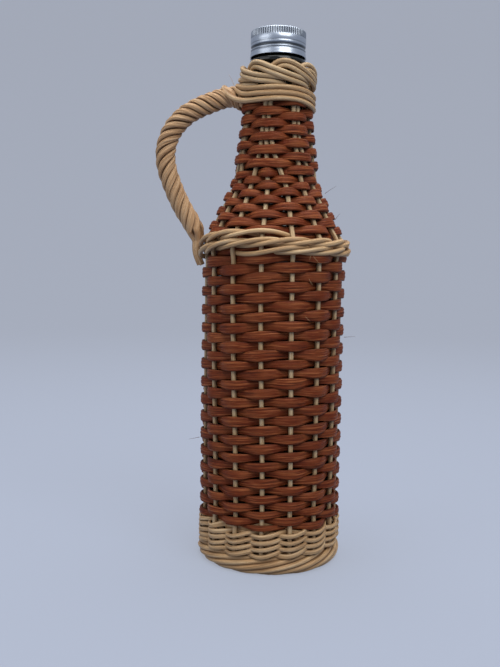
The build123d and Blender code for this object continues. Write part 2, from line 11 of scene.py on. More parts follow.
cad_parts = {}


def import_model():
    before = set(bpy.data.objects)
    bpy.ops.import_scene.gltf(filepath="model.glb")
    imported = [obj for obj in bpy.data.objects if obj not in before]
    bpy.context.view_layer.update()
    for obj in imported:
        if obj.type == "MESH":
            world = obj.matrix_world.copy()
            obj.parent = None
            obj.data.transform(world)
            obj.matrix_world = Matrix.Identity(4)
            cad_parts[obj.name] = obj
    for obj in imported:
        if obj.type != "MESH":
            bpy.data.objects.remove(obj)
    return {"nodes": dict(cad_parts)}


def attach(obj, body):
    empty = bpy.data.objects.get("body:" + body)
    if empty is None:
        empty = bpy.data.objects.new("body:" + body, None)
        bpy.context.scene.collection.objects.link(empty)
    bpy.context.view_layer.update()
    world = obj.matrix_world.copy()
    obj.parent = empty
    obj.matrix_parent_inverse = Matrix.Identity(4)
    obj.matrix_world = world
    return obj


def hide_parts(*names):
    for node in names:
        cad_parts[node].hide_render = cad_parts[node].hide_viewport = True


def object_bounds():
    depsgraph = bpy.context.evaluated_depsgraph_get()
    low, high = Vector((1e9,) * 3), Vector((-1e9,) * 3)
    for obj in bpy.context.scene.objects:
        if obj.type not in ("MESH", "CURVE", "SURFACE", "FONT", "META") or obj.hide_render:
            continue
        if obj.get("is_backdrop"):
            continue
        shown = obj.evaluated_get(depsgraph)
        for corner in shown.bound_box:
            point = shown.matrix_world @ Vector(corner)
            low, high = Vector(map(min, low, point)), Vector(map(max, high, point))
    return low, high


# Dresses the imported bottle: woven cane, roped handle, glass and cap, with a studio and camera.
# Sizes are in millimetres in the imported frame; meshes are written in metres.

MILLIMETRE = 0.001
TINY = 1e-9

# Rounded cut at the end of a cane: how far it reaches, and its share of the size there
CUT_REACHES = (0.22, 0.3)
CUT_SHARES = (0.86, 0.62)

# Fibre ridges along a cane: how far and how fast they drift, and the finer ones among them
SLOW_DRIFT, SLOW_STEP = 1.5, 0.11
FAST_DRIFT, FAST_STEP = 0.9, 0.31
FINE_SHARE, FINE_STEP, FINE_DRIFT = 0.6, 1.8, 1.7
TONE_PHASE = 40
log = logging.getLogger("woven_bottle")

Colour = tuple[float, float, float, float]
Display = tuple[float, float, float]
Outline = list[tuple[float, float]]
Socket = bpy.types.NodeSocket
Material = bpy.types.Material
Piece = bpy.types.Object


def linear(display: Display) -> Colour:
    """Turn a display colour into the linear colour that shaders take.

    Args:
        display: Red, green and blue from 0 to 255.

    Returns:
        Linear red, green, blue and an alpha of 1.
    """
    shares = [value / 255 for value in display]
    channels = [share / 12.92 if share <= 0.04045 else ((share + 0.055) / 1.055) ** 2.4 for share in shares]
    return (*channels, 1.0)


def mix(low: float, high: float, share: float) -> float:
    """Value between two others at a share of the way."""
    return low + (high - low) * share


def between(value: float, low: float, high: float) -> float:
    """Share of the way that a value lies from one value to another."""
    return (value - low) / (high - low)


def held(share: float) -> float:
    """Share kept from 0 to 1."""
    return min(max(share, 0.0), 1.0)


def eased(share: float) -> float:
    """Smooth step from 0 to 1."""
    share = held(share)
    return share * share * (3 - 2 * share)


def swung(share: float) -> float:
    """Half wave from 0 to 1."""
    return (1 - math.cos(math.pi * share)) / 2


def polar(radius: float, angle: float, height: float) -> np.ndarray:
    """Point at a radius and an angle in degrees round the bottle's axis."""
    turn = math.radians(angle)
    return np.array([radius * math.cos(turn), radius * math.sin(turn), height])


def arc(centre: tuple[float, float], radius: float, start: float, stop: float, count: int) -> Outline:
    """Points of an arc in an outline.

    Args:
        centre: Centre of the arc, as radius and height.
        radius: Radius of the arc.
        start: First angle in degrees.
        stop: Last angle in degrees.
        count: Number of points.

    Returns:
        The points in order.
    """
    turns = np.radians(np.linspace(start, stop, count))
    return [(centre[0] + radius * math.cos(turn), centre[1] + radius * math.sin(turn)) for turn in turns]


def unit(rows: np.ndarray) -> np.ndarray:
    """Rows scaled to a length of 1."""
    return rows / np.maximum(np.linalg.norm(rows, axis=1, keepdims=True), 1e-12)


def run(points: np.ndarray) -> tuple[np.ndarray, np.ndarray]:
    """Steps from each point to the next, and how far along each point lies."""
    steps = np.maximum(np.linalg.norm(np.diff(points[:, :3], axis=0), axis=1), TINY)
    return steps, np.concatenate([[0.0], np.cumsum(steps)])


def spline_through(rows: Sequence[Sequence[float]], count: int) -> np.ndarray:
    """Sample a natural cubic spline through points.

    Args:
        rows: Points in rows, with any number of columns after the first three.
        count: Number of samples.

    Returns:
        The samples, evenly spaced in the spline's chord length.
    """
    points = np.array(rows, float)
    steps, places = run(points)
    slopes = np.diff(points, axis=0) / steps[:, None]
    size = len(points)
    system = np.eye(size)
    right = np.zeros_like(points)
    for row in range(1, size - 1):
        before, after = steps[row - 1], steps[row]
        system[row, row - 1 : row + 2] = before, 2 * (before + after), after
        right[row] = 6 * (slopes[row] - slopes[row - 1])
    bends = np.linalg.solve(system, right)
    wanted = np.linspace(0, places[-1], count)
    cell = np.clip(np.searchsorted(places, wanted, side="right") - 1, 0, size - 2)
    width = steps[cell][:, None]
    samples = 0.0
    for index, reach in ((cell, places[cell + 1] - wanted), (cell + 1, wanted - places[cell])):
        reach = reach[:, None]
        samples = samples + bends[index] * reach**3 / (6 * width)
        samples = samples + (points[index] / width - bends[index] * width / 6) * reach
    return samples


class Section(Enum):
    """Outline of a length of cane, cut across, with the numbers that shape it."""

    ROUND = (14, 1.0, 1.0, 1.0, 0.03, 5.0)
    FLAT = (28, 0.86, 0.85, 0.4, 0.15, 8.5)
    OVAL = (16, 0.88, 1.0, 1.0, 0.07, 6.0)
    SPLIT = (26, 0.88, 1.0, 1.0, 0.16, 5.2)

    def __init__(
        self, points: int, across: float, face: float, back: float, ridge: float, ridge_step: float
    ) -> None:
        """Work out the points, across and out, in half widths and half depths.

        Args:
            points: Number of points.
            across: Power that squares the outline across.
            face: Power that flattens its face.
            back: Power that flattens its back.
            ridge: Depth of the fibre ridges, as a share of the half depth.
            ridge_step: How fast the ridges follow each other across the cane.
        """
        turns = np.arange(points) / points * 2 * math.pi
        wide, deep = np.cos(turns), np.sin(turns)
        self.across = np.sign(wide) * np.abs(wide) ** across
        self.out = np.clip(deep, 0, None) ** face - np.clip(-deep, 0, None) ** back
        self.ridge, self.ridge_step = ridge, ridge_step


@dataclass
class Lay:
    """A length of cane: its middle line, which way its face looks, and its half sizes."""

    centres: np.ndarray
    outs: np.ndarray | Sequence[float]
    half_widths: np.ndarray | float
    half_depths: np.ndarray | float
    # Share of the painted crest highlight at each station
    crests: np.ndarray | float
    tone: float

    def __post_init__(self) -> None:
        """Give every station its own direction and values."""
        self.outs = np.broadcast_to(self.outs, self.centres.shape)
        for name in ("half_widths", "half_depths", "crests"):
            setattr(self, name, np.broadcast_to(getattr(self, name), len(self.centres)))

    @classmethod
    def from_rows(cls, rows: Sequence[Sequence[float]], tone: float) -> "Lay":
        """Length from rows of centre, face direction, half width, half depth and crest."""
        table = np.array(rows)
        return cls(table[:, :3], table[:, 3:6], *table[:, 6:9].T, tone)

    def rounded(self) -> "Lay":
        """The same length with a small rounded cut at each end.

        Returns:
            The length with two stations more at each end.
        """
        count = len(self.centres)
        ends = []
        for index, before in ((0, 1), (-1, -2)):
            way = self.centres[index] - self.centres[before]
            way /= max(np.linalg.norm(way), TINY)
            reach = way * self.half_depths[index]
            ends.append([self.centres[index] + reach * share for share in CUT_REACHES])
        centres = np.vstack([ends[0][1], ends[0][0], self.centres, ends[1][0], ends[1][1]])
        shares = np.array([*CUT_SHARES[::-1], *[1.0] * count, *CUT_SHARES])
        kept = np.clip(np.arange(-2, count + 2), 0, count - 1)
        widths, depths = self.half_widths[kept] * shares, self.half_depths[kept] * shares
        return Lay(centres, self.outs[kept], widths, depths, self.crests[kept], self.tone)

    def rings(self, section: Section) -> tuple[np.ndarray, np.ndarray]:
        """Rings of points along the length, and their straightened coordinates.

        Args:
            section: Outline that is swept along it.

        Returns:
            Ring points and cane coordinates (along, across, out), station by station.
        """
        along = unit(np.gradient(self.centres, axis=0))
        side = unit(np.cross(along, self.outs))
        out = np.cross(side, along)
        travelled = run(self.centres)[1]
        start = self.tone * TONE_PHASE
        drift = SLOW_DRIFT * np.sin(travelled * SLOW_STEP + start)
        drift += FAST_DRIFT * np.sin(travelled * FAST_STEP + 2 * start)
        wave = np.cos(section.across * section.ridge_step + drift[:, None])
        fine = np.cos(section.across * section.ridge_step * FINE_STEP - FINE_DRIFT * drift[:, None])
        wave += FINE_SHARE * fine
        ridged = section.out + section.ridge * wave * np.clip(section.out, 0, 1) ** 0.5
        across = section.across[:, None] * self.half_widths[:, None, None]
        depth = ridged[:, :, None] * self.half_depths[:, None, None]
        points = self.centres[:, None, :] + side[:, None, :] * across + out[:, None, :] * depth
        far = np.broadcast_to(travelled[:, None, None], across.shape)
        return points, np.concatenate([far, across, depth], axis=2)


def placed(name: str, data: bpy.types.ID) -> Piece:
    """Make an object of its data.

    Args:
        name: Name of the object.
        data: Mesh, light or camera of the object.

    Returns:
        The new object, linked to the scene.
    """
    thing = bpy.data.objects.new(name, data)
    bpy.context.scene.collection.objects.link(thing)
    return thing


def make_mesh(
    name: str,
    verts: np.ndarray,
    faces: list[Sequence[int]],
    material: Material,
    attributes: dict[str, np.ndarray],
) -> Piece:
    """Make a smooth shaded mesh object from points in millimetres.

    Args:
        name: Name of the piece.
        verts: Points in rows.
        faces: Corners of each face.
        material: Finish of the piece.
        attributes: Values for each point, by attribute name.

    Returns:
        The new object, linked to the scene.
    """
    mesh = bpy.data.meshes.new(name)
    mesh.from_pydata((verts * MILLIMETRE).tolist(), [], faces)
    for key, values in attributes.items():
        kind, field = ("FLOAT_VECTOR", "vector") if values.ndim == 2 else ("FLOAT", "value")
        mesh.attributes.new(key, kind, "POINT").data.foreach_set(field, values.ravel())
    mesh.polygons.foreach_set("use_smooth", [True] * len(faces))
    mesh.materials.append(material)
    mesh.update()
    return placed(name, mesh)


def swept(name: str, lays: Sequence[Lay], section: Section, material: Material) -> Piece:
    """Make one object from several lengths of cane.

    Args:
        name: Name of the piece.
        lays: The lengths that it holds.
        section: Outline that is swept along them.
        material: Finish of the piece.

    Returns:
        The new object, with the coordinates that its finish reads.
    """
    verts, faces = [], []
    values: dict[str, list[np.ndarray]] = {"cane": [], "tone": [], "crest": [], "edge": []}
    start = 0
    for lay in lays:
        whole = lay.rounded()
        points, cane = whole.rings(section)
        count, sides = points.shape[:2]
        verts.append(points.reshape(-1, 3))
        values["cane"].append(cane.reshape(-1, 3))
        values["tone"].append(np.full(count * sides, lay.tone))
        # The crest attribute sets how much painted highlight the finish puts on each station
        values["crest"].append(np.repeat(whole.crests, sides))
        values["edge"].append(np.tile(np.abs(section.across) ** 3, count))
        grid = start + np.arange(count * sides).reshape(count, sides)
        here, after = grid[:-1], grid[1:]
        quads = np.stack([here, after, np.roll(after, -1, axis=1), np.roll(here, -1, axis=1)], axis=2)
        faces += [*quads.reshape(-1, 4).tolist(), grid[0].tolist(), grid[-1][::-1].tolist()]
        start += count * sides
    joined = {key: np.concatenate(rows) for key, rows in values.items()}
    above_table = np.maximum(np.vstack(verts), (-np.inf, -np.inf, 0.0))
    return make_mesh(name, above_table, faces, material, joined)


def turned(
    name: str,
    outline: Outline,
    material: Material,
    steps: int,
    shape: Callable[[np.ndarray, np.ndarray, np.ndarray], np.ndarray],
    groove: Callable[[np.ndarray, np.ndarray], np.ndarray] | None = None,
) -> Piece:
    """Turn an outline of radius and height round the bottle's axis.

    Args:
        name: Name of the piece.
        outline: Radius and height of each point, on the axis at both ends.
        material: Finish of the piece.
        steps: Number of steps round the axis.
        shape: Changes the radius by height and angle, for knurls and threads.
        groove: Gives how deep in a groove a point lies, by its radius and height.

    Returns:
        The new object.
    """
    inner = np.array(outline[1:-1])
    size = (steps, len(inner))
    turns = np.arange(steps) / steps * 2 * math.pi
    angle, height = np.broadcast_to(turns[:, None], size), np.broadcast_to(inner[:, 1], size)
    radius = shape(np.broadcast_to(inner[:, 0], size), height, angle)
    ring = np.stack([radius * np.cos(angle), radius * np.sin(angle), height], axis=2)
    verts = np.vstack([ring.reshape(-1, 3), [[0, 0, outline[0][1]], [0, 0, outline[-1][1]]]])
    grid = np.arange(steps * len(inner)).reshape(size)
    after = np.roll(grid, -1, axis=0)
    quads = np.stack([grid[:, :-1], after[:, :-1], after[:, 1:], grid[:, 1:]], axis=2)
    faces = quads.reshape(-1, 4).tolist()
    first, last = len(verts) - 2, len(verts) - 1
    faces += [[first, int(b), int(a)] for a, b in zip(grid[:, 0], after[:, 0])]
    faces += [[last, int(a), int(b)] for a, b in zip(grid[:, -1], after[:, -1])]
    depth = groove(radius, height) if groove else np.zeros(size)
    return make_mesh(name, verts, faces, material, {"groove": np.append(depth.ravel(), [0.0, 0.0])})


class Nodes:
    """Adds and joins the nodes of one tree."""

    def __init__(self, tree: bpy.types.NodeTree) -> None:
        """Start with an empty tree."""
        self.tree = tree
        tree.nodes.clear()

    def join(self, source: Socket, target: Socket) -> None:
        """Link one socket to another."""
        self.tree.links.new(source, target)

    def add(self, kind: str, inputs: dict[str | int, object], **settings: object) -> bpy.types.Node:
        """Add a node.

        Args:
            kind: Kind of node, after the word ShaderNode.
            inputs: Value of each input, or the socket that it reads, by its name or number.
            settings: Properties of the node.

        Returns:
            The node.
        """
        node = self.tree.nodes.new("ShaderNode" + kind)
        for key, value in settings.items():
            setattr(node, key, value)
        for key, value in inputs.items():
            if isinstance(value, Socket):
                self.join(value, node.inputs[key])
            else:
                node.inputs[key].default_value = value
        return node

    def math(self, operation: str, first: Socket, second: Socket | float) -> Socket:
        """Two values joined by a sum."""
        return self.add("Math", {0: first, 1: second}, operation=operation).outputs["Value"]

    def sum(self, first: Socket, first_share: float, second: Socket, second_share: float) -> Socket:
        """Two values added by their shares."""
        scaled = self.math("MULTIPLY", first, first_share), self.math("MULTIPLY", second, second_share)
        return self.math("ADD", *scaled)

    def seen(self, share: float) -> Socket:
        """A share that counts only where the camera, a reflection or glass looks.

        Args:
            share: Value where it counts.

        Returns:
            The socket with the share.
        """
        path = self.add("LightPath", {}).outputs
        seen = self.math("MAXIMUM", path["Is Camera Ray"], path["Is Glossy Ray"])
        seen = self.math("MAXIMUM", seen, path["Is Transmission Ray"])
        return self.math("MULTIPLY", seen, share)

    def mixed(self, share: Socket, first: bpy.types.Node, second: bpy.types.Node, kind: str) -> None:
        """Mix two shaders by a share into the output of a kind."""
        joined = self.add("MixShader", {0: share, 1: first.outputs[0], 2: second.outputs[0]})
        self.add("Output" + kind, {"Surface": joined.outputs["Shader"]})


class Shader(Nodes):
    """Nodes of one material with a principled surface."""

    def __init__(self, name: str) -> None:
        """Start a material with its surface.

        Args:
            name: Name of the material.
        """
        self.material = bpy.data.materials.new(name)
        self.material.use_nodes = True
        super().__init__(self.material.node_tree)
        self.surface = self.add("BsdfPrincipled", {})

    def attribute(self, name: str, output: str = "Fac") -> Socket:
        """Read a mesh attribute."""
        return self.add("Attribute", {}, attribute_name=name).outputs[output]

    def place(self) -> Socket:
        """Position in the object's own space."""
        return self.add("TexCoord", {}).outputs["Object"]

    def noise(
        self,
        vector: Socket,
        scale: float,
        detail: float,
        roughness: float,
        stretch: tuple[float, float, float] | None = None,
    ) -> Socket:
        """Noise from about 0 to 1 at a place.

        Args:
            vector: The place.
            scale: How fine the noise is.
            detail: Number of finer layers.
            roughness: How strong the finer layers are.
            stretch: Scale of the place along each direction, where it is stretched.

        Returns:
            The socket with the noise.
        """
        if stretch:
            vector = self.add("Mapping", {"Vector": vector, "Scale": stretch}).outputs["Vector"]
        inputs = {"Vector": vector, "Scale": scale, "Detail": detail, "Roughness": roughness}
        return self.add("TexNoise", inputs).outputs["Fac"]

    def ramp(self, value: Socket, stops: Sequence[tuple[float, Colour]]) -> Socket:
        """Colours read along a value.

        Args:
            value: The value.
            stops: Value and colour of each stop.

        Returns:
            The socket with the colour.
        """
        node = self.add("ValToRGB", {"Fac": value})
        while len(node.color_ramp.elements) < len(stops):
            node.color_ramp.elements.new(0.5)
        for element, (place, colour) in zip(node.color_ramp.elements, stops):
            element.position, element.color = place, colour
        return node.outputs["Color"]

    def range(self, value: Socket, low: float, high: float, to_low: float, to_high: float) -> Socket:
        """A value moved from one range to another and held in it."""
        ends = {"From Min": low, "From Max": high, "To Min": to_low, "To Max": to_high}
        return self.add("MapRange", {"Value": value, **ends}).outputs["Result"]

    def blend(self, share: Socket, first: Socket | Colour, second: Socket | Colour) -> Socket:
        """Two colours mixed by a share."""
        return self.add("Mix", {0: share, 6: first, 7: second}, data_type="RGBA").outputs[2]

    def finish(
        self, colour: Socket, roughness: Socket, height: Socket, bump: tuple[float, float], **values: float
    ) -> Material:
        """Join the surface together.

        Args:
            colour: Colour of the surface.
            roughness: Roughness of the surface.
            height: Relief of the surface.
            bump: Strength of the relief, and its distance in metres.
            values: Other plain values, by socket name with _ for spaces.

        Returns:
            The finished material.
        """
        relief = self.add("Bump", {"Strength": bump[0], "Distance": bump[1], "Height": height})
        sockets = {"Base Color": colour, "Roughness": roughness, "Normal": relief.outputs["Normal"]}
        for key, socket in sockets.items():
            self.join(socket, self.surface.inputs[key])
        for key, value in values.items():
            self.surface.inputs[key.replace("_", " ")].default_value = value
        self.add("OutputMaterial", {"Surface": self.surface.outputs["BSDF"]})
        return self.material


class Cane(Enum):
    """Kinds of cane, by their material slot in the record."""

    BROWN = "brown_cane"
    PALE = "pale_cane"
    STAKE = "stake_cane"
    HANDLE = "handle_cane"


@dataclass(frozen=True)
class CaneFinish:
    """Finish of stripped cane, with grain that runs along each length, painted highlight on the crests and
    painted shade at the edges.
    """

    name: str
    dark: Display
    body: Display
    light: Display
    # Colour of the painted shade at the edges
    shade: Display
    relief: float
    # Share of the painted highlight that the crests get
    crest_highlight: float
    gloss: float = 0.3
    low_roughness: float = 0.42
    high_roughness: float = 0.66
    streak_step: float = 1.3
    grain_stops: tuple[float, ...] = (0.38, 0.46, 0.53, 0.6)
    edge_shade: float = 0.62
    tone_moves: tuple[float, float] = (613.0, 37.0)
    relief_distance: float = 0.0006

    def build(self) -> Material:
        """Make the material.

        Returns:
            The finished cane material.
        """
        shader = Shader(self.name)
        dark, body, light = linear(self.dark), linear(self.body), linear(self.light)
        cane, tone = shader.attribute("cane", "Vector"), shader.attribute("tone")
        moves = [shader.math("MULTIPLY", tone, distance) for distance in self.tone_moves]
        offset = shader.add("CombineXYZ", dict(zip("XY", moves))).outputs["Vector"]
        laid = shader.add("VectorMath", {0: cane, 1: offset}, operation="ADD").outputs["Vector"]
        streaks = shader.noise(laid, 1.0, 3.0, 0.6, (0.035, self.streak_step, self.streak_step))
        fibres = shader.noise(laid, 1.0, 3.0, 0.5, (0.1, 4.0, 4.0))
        clouds = shader.noise(laid, 1.0, 2.0, 0.5, (0.09, 0.16, 0.16))
        grain = shader.sum(streaks, 0.72, fibres, 0.28)
        colour = shader.ramp(grain, list(zip(self.grain_stops, (dark, body, body, light))))
        colour = shader.blend(shader.range(clouds, 0.4, 0.75, 0.0, 0.4), colour, light)
        colour = shader.blend(shader.range(tone, 0.0, 1.0, 0.28, 0.0), colour, dark)
        # Painted highlight: lightens the cane by its crest value, most where it crosses over a stake
        crest = shader.math("MULTIPLY", shader.attribute("crest"), self.crest_highlight)
        colour = shader.blend(crest, colour, light)
        # Painted shade: darkens the cane toward its edges, where the gaps between canes lie
        edge = shader.range(shader.attribute("edge"), 0.35, 1.0, 0.0, self.edge_shade)
        colour = shader.blend(edge, colour, linear(self.shade))
        roughness = shader.range(grain, 0.35, 0.65, self.high_roughness, self.low_roughness)
        bump = (self.relief, self.relief_distance)
        return shader.finish(colour, roughness, grain, bump, IOR=1.5, Specular_IOR_Level=self.gloss)


@dataclass(frozen=True)
class GlassFinish:
    """Very dark glossy bottle glass, a little dusty."""

    name: str = "dark_bottle_glass"
    tint: Colour = (0.006, 0.007, 0.005, 1.0)
    dust: Display = (70, 66, 58)

    def build(self) -> Material:
        """Make the material.

        Returns:
            The finished glass material.
        """
        shader = Shader(self.name)
        ripple = shader.noise(shader.place(), 90.0, 2.0, 0.4)
        dust = shader.noise(shader.place(), 900.0, 4.0, 0.6)
        colour = shader.blend(shader.range(dust, 0.6, 0.8, 0.0, 0.12), self.tint, linear(self.dust))
        roughness = shader.range(ripple, 0.3, 0.7, 0.05, 0.12)
        return shader.finish(colour, roughness, ripple, (0.12, 0.0004), IOR=1.52, Specular_IOR_Level=0.4)


@dataclass(frozen=True)
class MetalFinish:
    """Rolled aluminium with fine marks round it, light wear and painted shade in its knurls and grooves."""

    name: str = "rolled_aluminium"
    colour: Display = (190, 198, 208)
    worn: Display = (160, 168, 178)
    # Colour of the painted shade in the knurls and rolled grooves
    shade: Display = (62, 66, 70)
    low_roughness: float = 0.26
    high_roughness: float = 0.42

    def build(self) -> Material:
        """Make the material.

        Returns:
            The finished metal material.
        """
        shader = Shader(self.name)
        place = shader.place()
        rolled = shader.noise(place, 1.0, 3.0, 0.6, (60.0, 60.0, 5200.0))
        marks = shader.sum(rolled, 0.6, shader.noise(place, 420.0, 5.0, 0.6), 0.4)
        wear = shader.range(marks, 0.42, 0.68, 0.0, 0.5)
        colour = shader.blend(wear, linear(self.colour), linear(self.worn))
        # Painted shade: darkens the metal in the knurl valleys and rolled grooves
        groove = shader.range(shader.attribute("groove"), 0.1, 0.9, 0.0, 0.95)
        colour = shader.blend(groove, colour, linear(self.shade))
        roughness = shader.range(marks, 0.35, 0.65, self.low_roughness, self.high_roughness)
        return shader.finish(colour, roughness, marks, (0.08, 0.0002), Metallic=1.0)


@dataclass(frozen=True)
class LinerFinish:
    """Off-white foamed sealing disc."""

    name: str = "sealing_liner"
    dark: Display = (214, 210, 198)
    light: Display = (236, 234, 226)

    def build(self) -> Material:
        """Make the material.

        Returns:
            The finished liner material.
        """
        shader = Shader(self.name)
        cells = shader.noise(shader.place(), 2600.0, 3.0, 0.6)
        colour = shader.ramp(cells, [(0.35, linear(self.dark)), (0.65, linear(self.light))])
        return shader.finish(colour, shader.range(cells, 0.3, 0.7, 0.55, 0.75), cells, (0.2, 0.0002))


# Columns: name, dark, body and light grain colours, colour of the painted shade at the edges, relief, share
# of the painted highlight on the crests, and gloss where given
CANE_FINISHES = {
    Cane.BROWN: CaneFinish(
        "stained_brown_cane", (54, 17, 5), (111, 42, 13), (172, 98, 54), (36, 11, 4), 0.9, 0.08, 0.16
    ),
    Cane.PALE: CaneFinish(
        "pale_peeled_cane", (140, 100, 62), (194, 153, 106), (222, 190, 145), (100, 60, 32), 0.6, 0.15
    ),
    Cane.STAKE: CaneFinish(
        "stake_cane", (158, 122, 82), (200, 168, 124), (220, 194, 154), (126, 88, 52), 0.5, 0.1
    ),
    Cane.HANDLE: CaneFinish(
        "handle_cane", (146, 104, 66), (197, 155, 111), (224, 188, 144), (80, 46, 24), 0.8, 0.1
    ),
}


class Finishes:
    """Every finish of the bottle, made once."""

    def __init__(self) -> None:
        """Make the materials."""
        self.cane = {cane: finish.build() for cane, finish in CANE_FINISHES.items()}
        self.glass = GlassFinish().build()
        self.cap = MetalFinish().build()
        self.liner = LinerFinish().build()


@dataclass(frozen=True)
class GlassSizes:
    """Outline of the glass bottle."""

    body_radius: float = 32.3
    bottom: float = 9.1
    shoulder_height: float = 167.4
    shoulder_round: float = 25.0
    waist_radius: float = 18.05
    waist_height: float = 196.3
    waist_round: float = 25.0
    neck_radius: float = 13.3
    neck_height: float = 232.0
    wall: float = 3.0
    floor: float = 5.0
    heel_round: float = 4.0
    punt_radius: float = 22.0
    punt_rise: float = 2.5
    bead_radius: float = 14.3
    bead_underside: float = 257.8
    bead_top: float = 261.6
    finish_radius: float = 12.5
    mouth_height: float = 274.0
    lip_round: float = 0.8
    bore_radius: float = 9.3
    thread_depth: float = 0.75
    thread_half_width: float = 0.62
    thread_pitch: float = 3.175
    thread_bottom: float = 264.4
    thread_turns: float = 1.75
    thread_start: float = 0.05
    thread_fade: float = 6.0


class GlassWall:
    """Outer wall of the bottle, which the cover lies on."""

    def __init__(self, sizes: GlassSizes) -> None:
        """Keep the corners of the wall and the rounds between them.

        Args:
            sizes: Outline of the glass.
        """
        self.corners = [
            (sizes.body_radius, sizes.bottom),
            (sizes.body_radius, sizes.shoulder_height),
            (sizes.waist_radius, sizes.waist_height),
            (sizes.neck_radius, sizes.neck_height),
            (sizes.neck_radius, sizes.bead_underside),
        ]
        self.rounds = [sizes.shoulder_round, sizes.waist_round, 0.0]

    def at(self, height: float) -> tuple[float, float]:
        """Radius of the wall at a height, and how far it leans in, in radians.

        Args:
            height: Height on the wall.

        Returns:
            The radius and the lean.
        """
        lean_above = 0.0
        corners = self.corners
        for (r0, z0), (r1, z1), (r2, z2), bend in zip(corners, corners[1:], corners[2:], self.rounds):
            lean_below = math.atan2(r0 - r1, z1 - z0)
            lean_above = math.atan2(r1 - r2, z2 - z1)
            reach = bend * math.tan(abs(lean_above - lean_below) / 2)
            low = z1 - reach * math.cos(lean_below)
            if height < low:
                return r1 + (z1 - height) * math.tan(lean_below), lean_below
            if height < z1 + reach * math.cos(lean_above):
                side = math.copysign(bend, lean_above - lean_below)
                centre = r1 + reach * math.sin(lean_below) - side * math.cos(lean_below)
                lean = math.asin((height - low + side * math.sin(lean_below)) / side)
                return centre + side * math.cos(lean), lean
        return corners[-1][0], lean_above

    def point(self, angle: float, height: float, offset: float, rise: float = 0.0) -> np.ndarray:
        """Point outside the wall.

        Args:
            angle: Angle round the bottle in degrees.
            height: Height on the bottle.
            offset: How far it is from the wall, square to it.
            rise: How far it is moved up along the wall.

        Returns:
            The point.
        """
        radius, lean = self.at(height)
        reach = radius + offset * math.cos(lean) - rise * math.sin(lean)
        return polar(reach, angle, height + offset * math.sin(lean) + rise * math.cos(lean))

    def spot(self, angle: float, height: float, offset: float, rise: float = 0.0) -> list[float]:
        """Point outside the wall and the direction square to it, in one row."""
        lean = self.at(height)[1]
        return [*self.point(angle, height, offset, rise), *polar(math.cos(lean), angle, math.sin(lean))]


@dataclass(frozen=True)
class Part:
    """A piece of cane to make: its name, kind, section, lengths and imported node."""

    name: str
    cane: Cane
    section: Section
    lays: Sequence[Lay]
    node: str = ""


class Canework:
    """Part of the cane cover, made piece by piece."""

    def parts(self) -> Iterator[Part]:
        """Pieces to make, in order."""
        raise NotImplementedError

    def build(self, finishes: Finishes) -> list[Piece]:
        """Make the pieces and dress them.

        Args:
            finishes: Finishes of the bottle.

        Returns:
            The pieces.
        """
        pieces = []
        for part in self.parts():
            piece = swept(part.name, part.lays, part.section, finishes.cane[part.cane])
            pieces.append(seated(piece, "bottle", part.node))
        return pieces


def seated(piece: Piece, body: str, node: str) -> Piece:
    """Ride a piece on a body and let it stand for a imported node.

    Args:
        piece: The piece.
        body: Body that it moves with.
        node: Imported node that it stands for, or nothing.

    Returns:
        The piece.
    """
    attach(piece, body)
    if node:
        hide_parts(node)
    log.info("%s: %d faces on %s", piece.name, len(piece.data.polygons), body)
    return piece


@dataclass(frozen=True)
class CoverSizes:
    """Sizes that the woven pieces of the cover share."""

    clearance: float = 0.2
    stake_radius: float = 1.2
    brown_thickness: float = 1.2
    brown_dressed: float = 1.5
    pale_thickness: float = 1.7
    wale_radius: float = 1.1
    stake_count: int = 15
    stake_angle: float = 262.0
    front_angle: float = 270.0
    foot_level: float = 24.0
    top_level: float = 150.0
    foot_turn: float = 2.4
    top_turn: float = -1.5
    foot_spread: float = -2.3
    top_spread: float = 2.4
    left_sag: float = 2.5
    foot_right_sag: float = 1.2
    top_right_sag: float = 0.2
    group_count: int = 7
    group_angle: float = 254.0
    group_slot_step: float = 2.5
    closing_start: float = 190.0
    closing_end: float = 222.0
    closing_step: float = 3.2
    last_closing: float = 244.0
    short_stake: int = 1
    short_stake_top: float = 227.0
    slot_shift_top: float = 238.0
    border_top: float = 9.05
    foot_stakes_top: float = 22.5
    foot_blend_top: float = 28.0
    wale_height: float = 163.2
    wale_blend: float = 5.0
    wale_zone: float = 9.5
    loop_base: float = 246.3
    loop_rise: float = 10.0
    loop_lean: float = 3.2
    loop_side_share: float = 1.04


# Looped end of a stake: turn in groups, and shares of the rise and of the lean
LOOP_SHARES = (
    (0.03, 0.36, 0.02), (0.17, 0.78, 0.14), (0.44, 1.0, 0.4), (0.74, 0.93, 0.76), (1.02, 0.72, 1.0),
    (1.35, 0.5, 1.05), (1.72, 0.31, 1.0), (2.08, 0.22, 0.8), (2.34, 0.17, 0.5), (2.56, 0.14, 0.15),
)


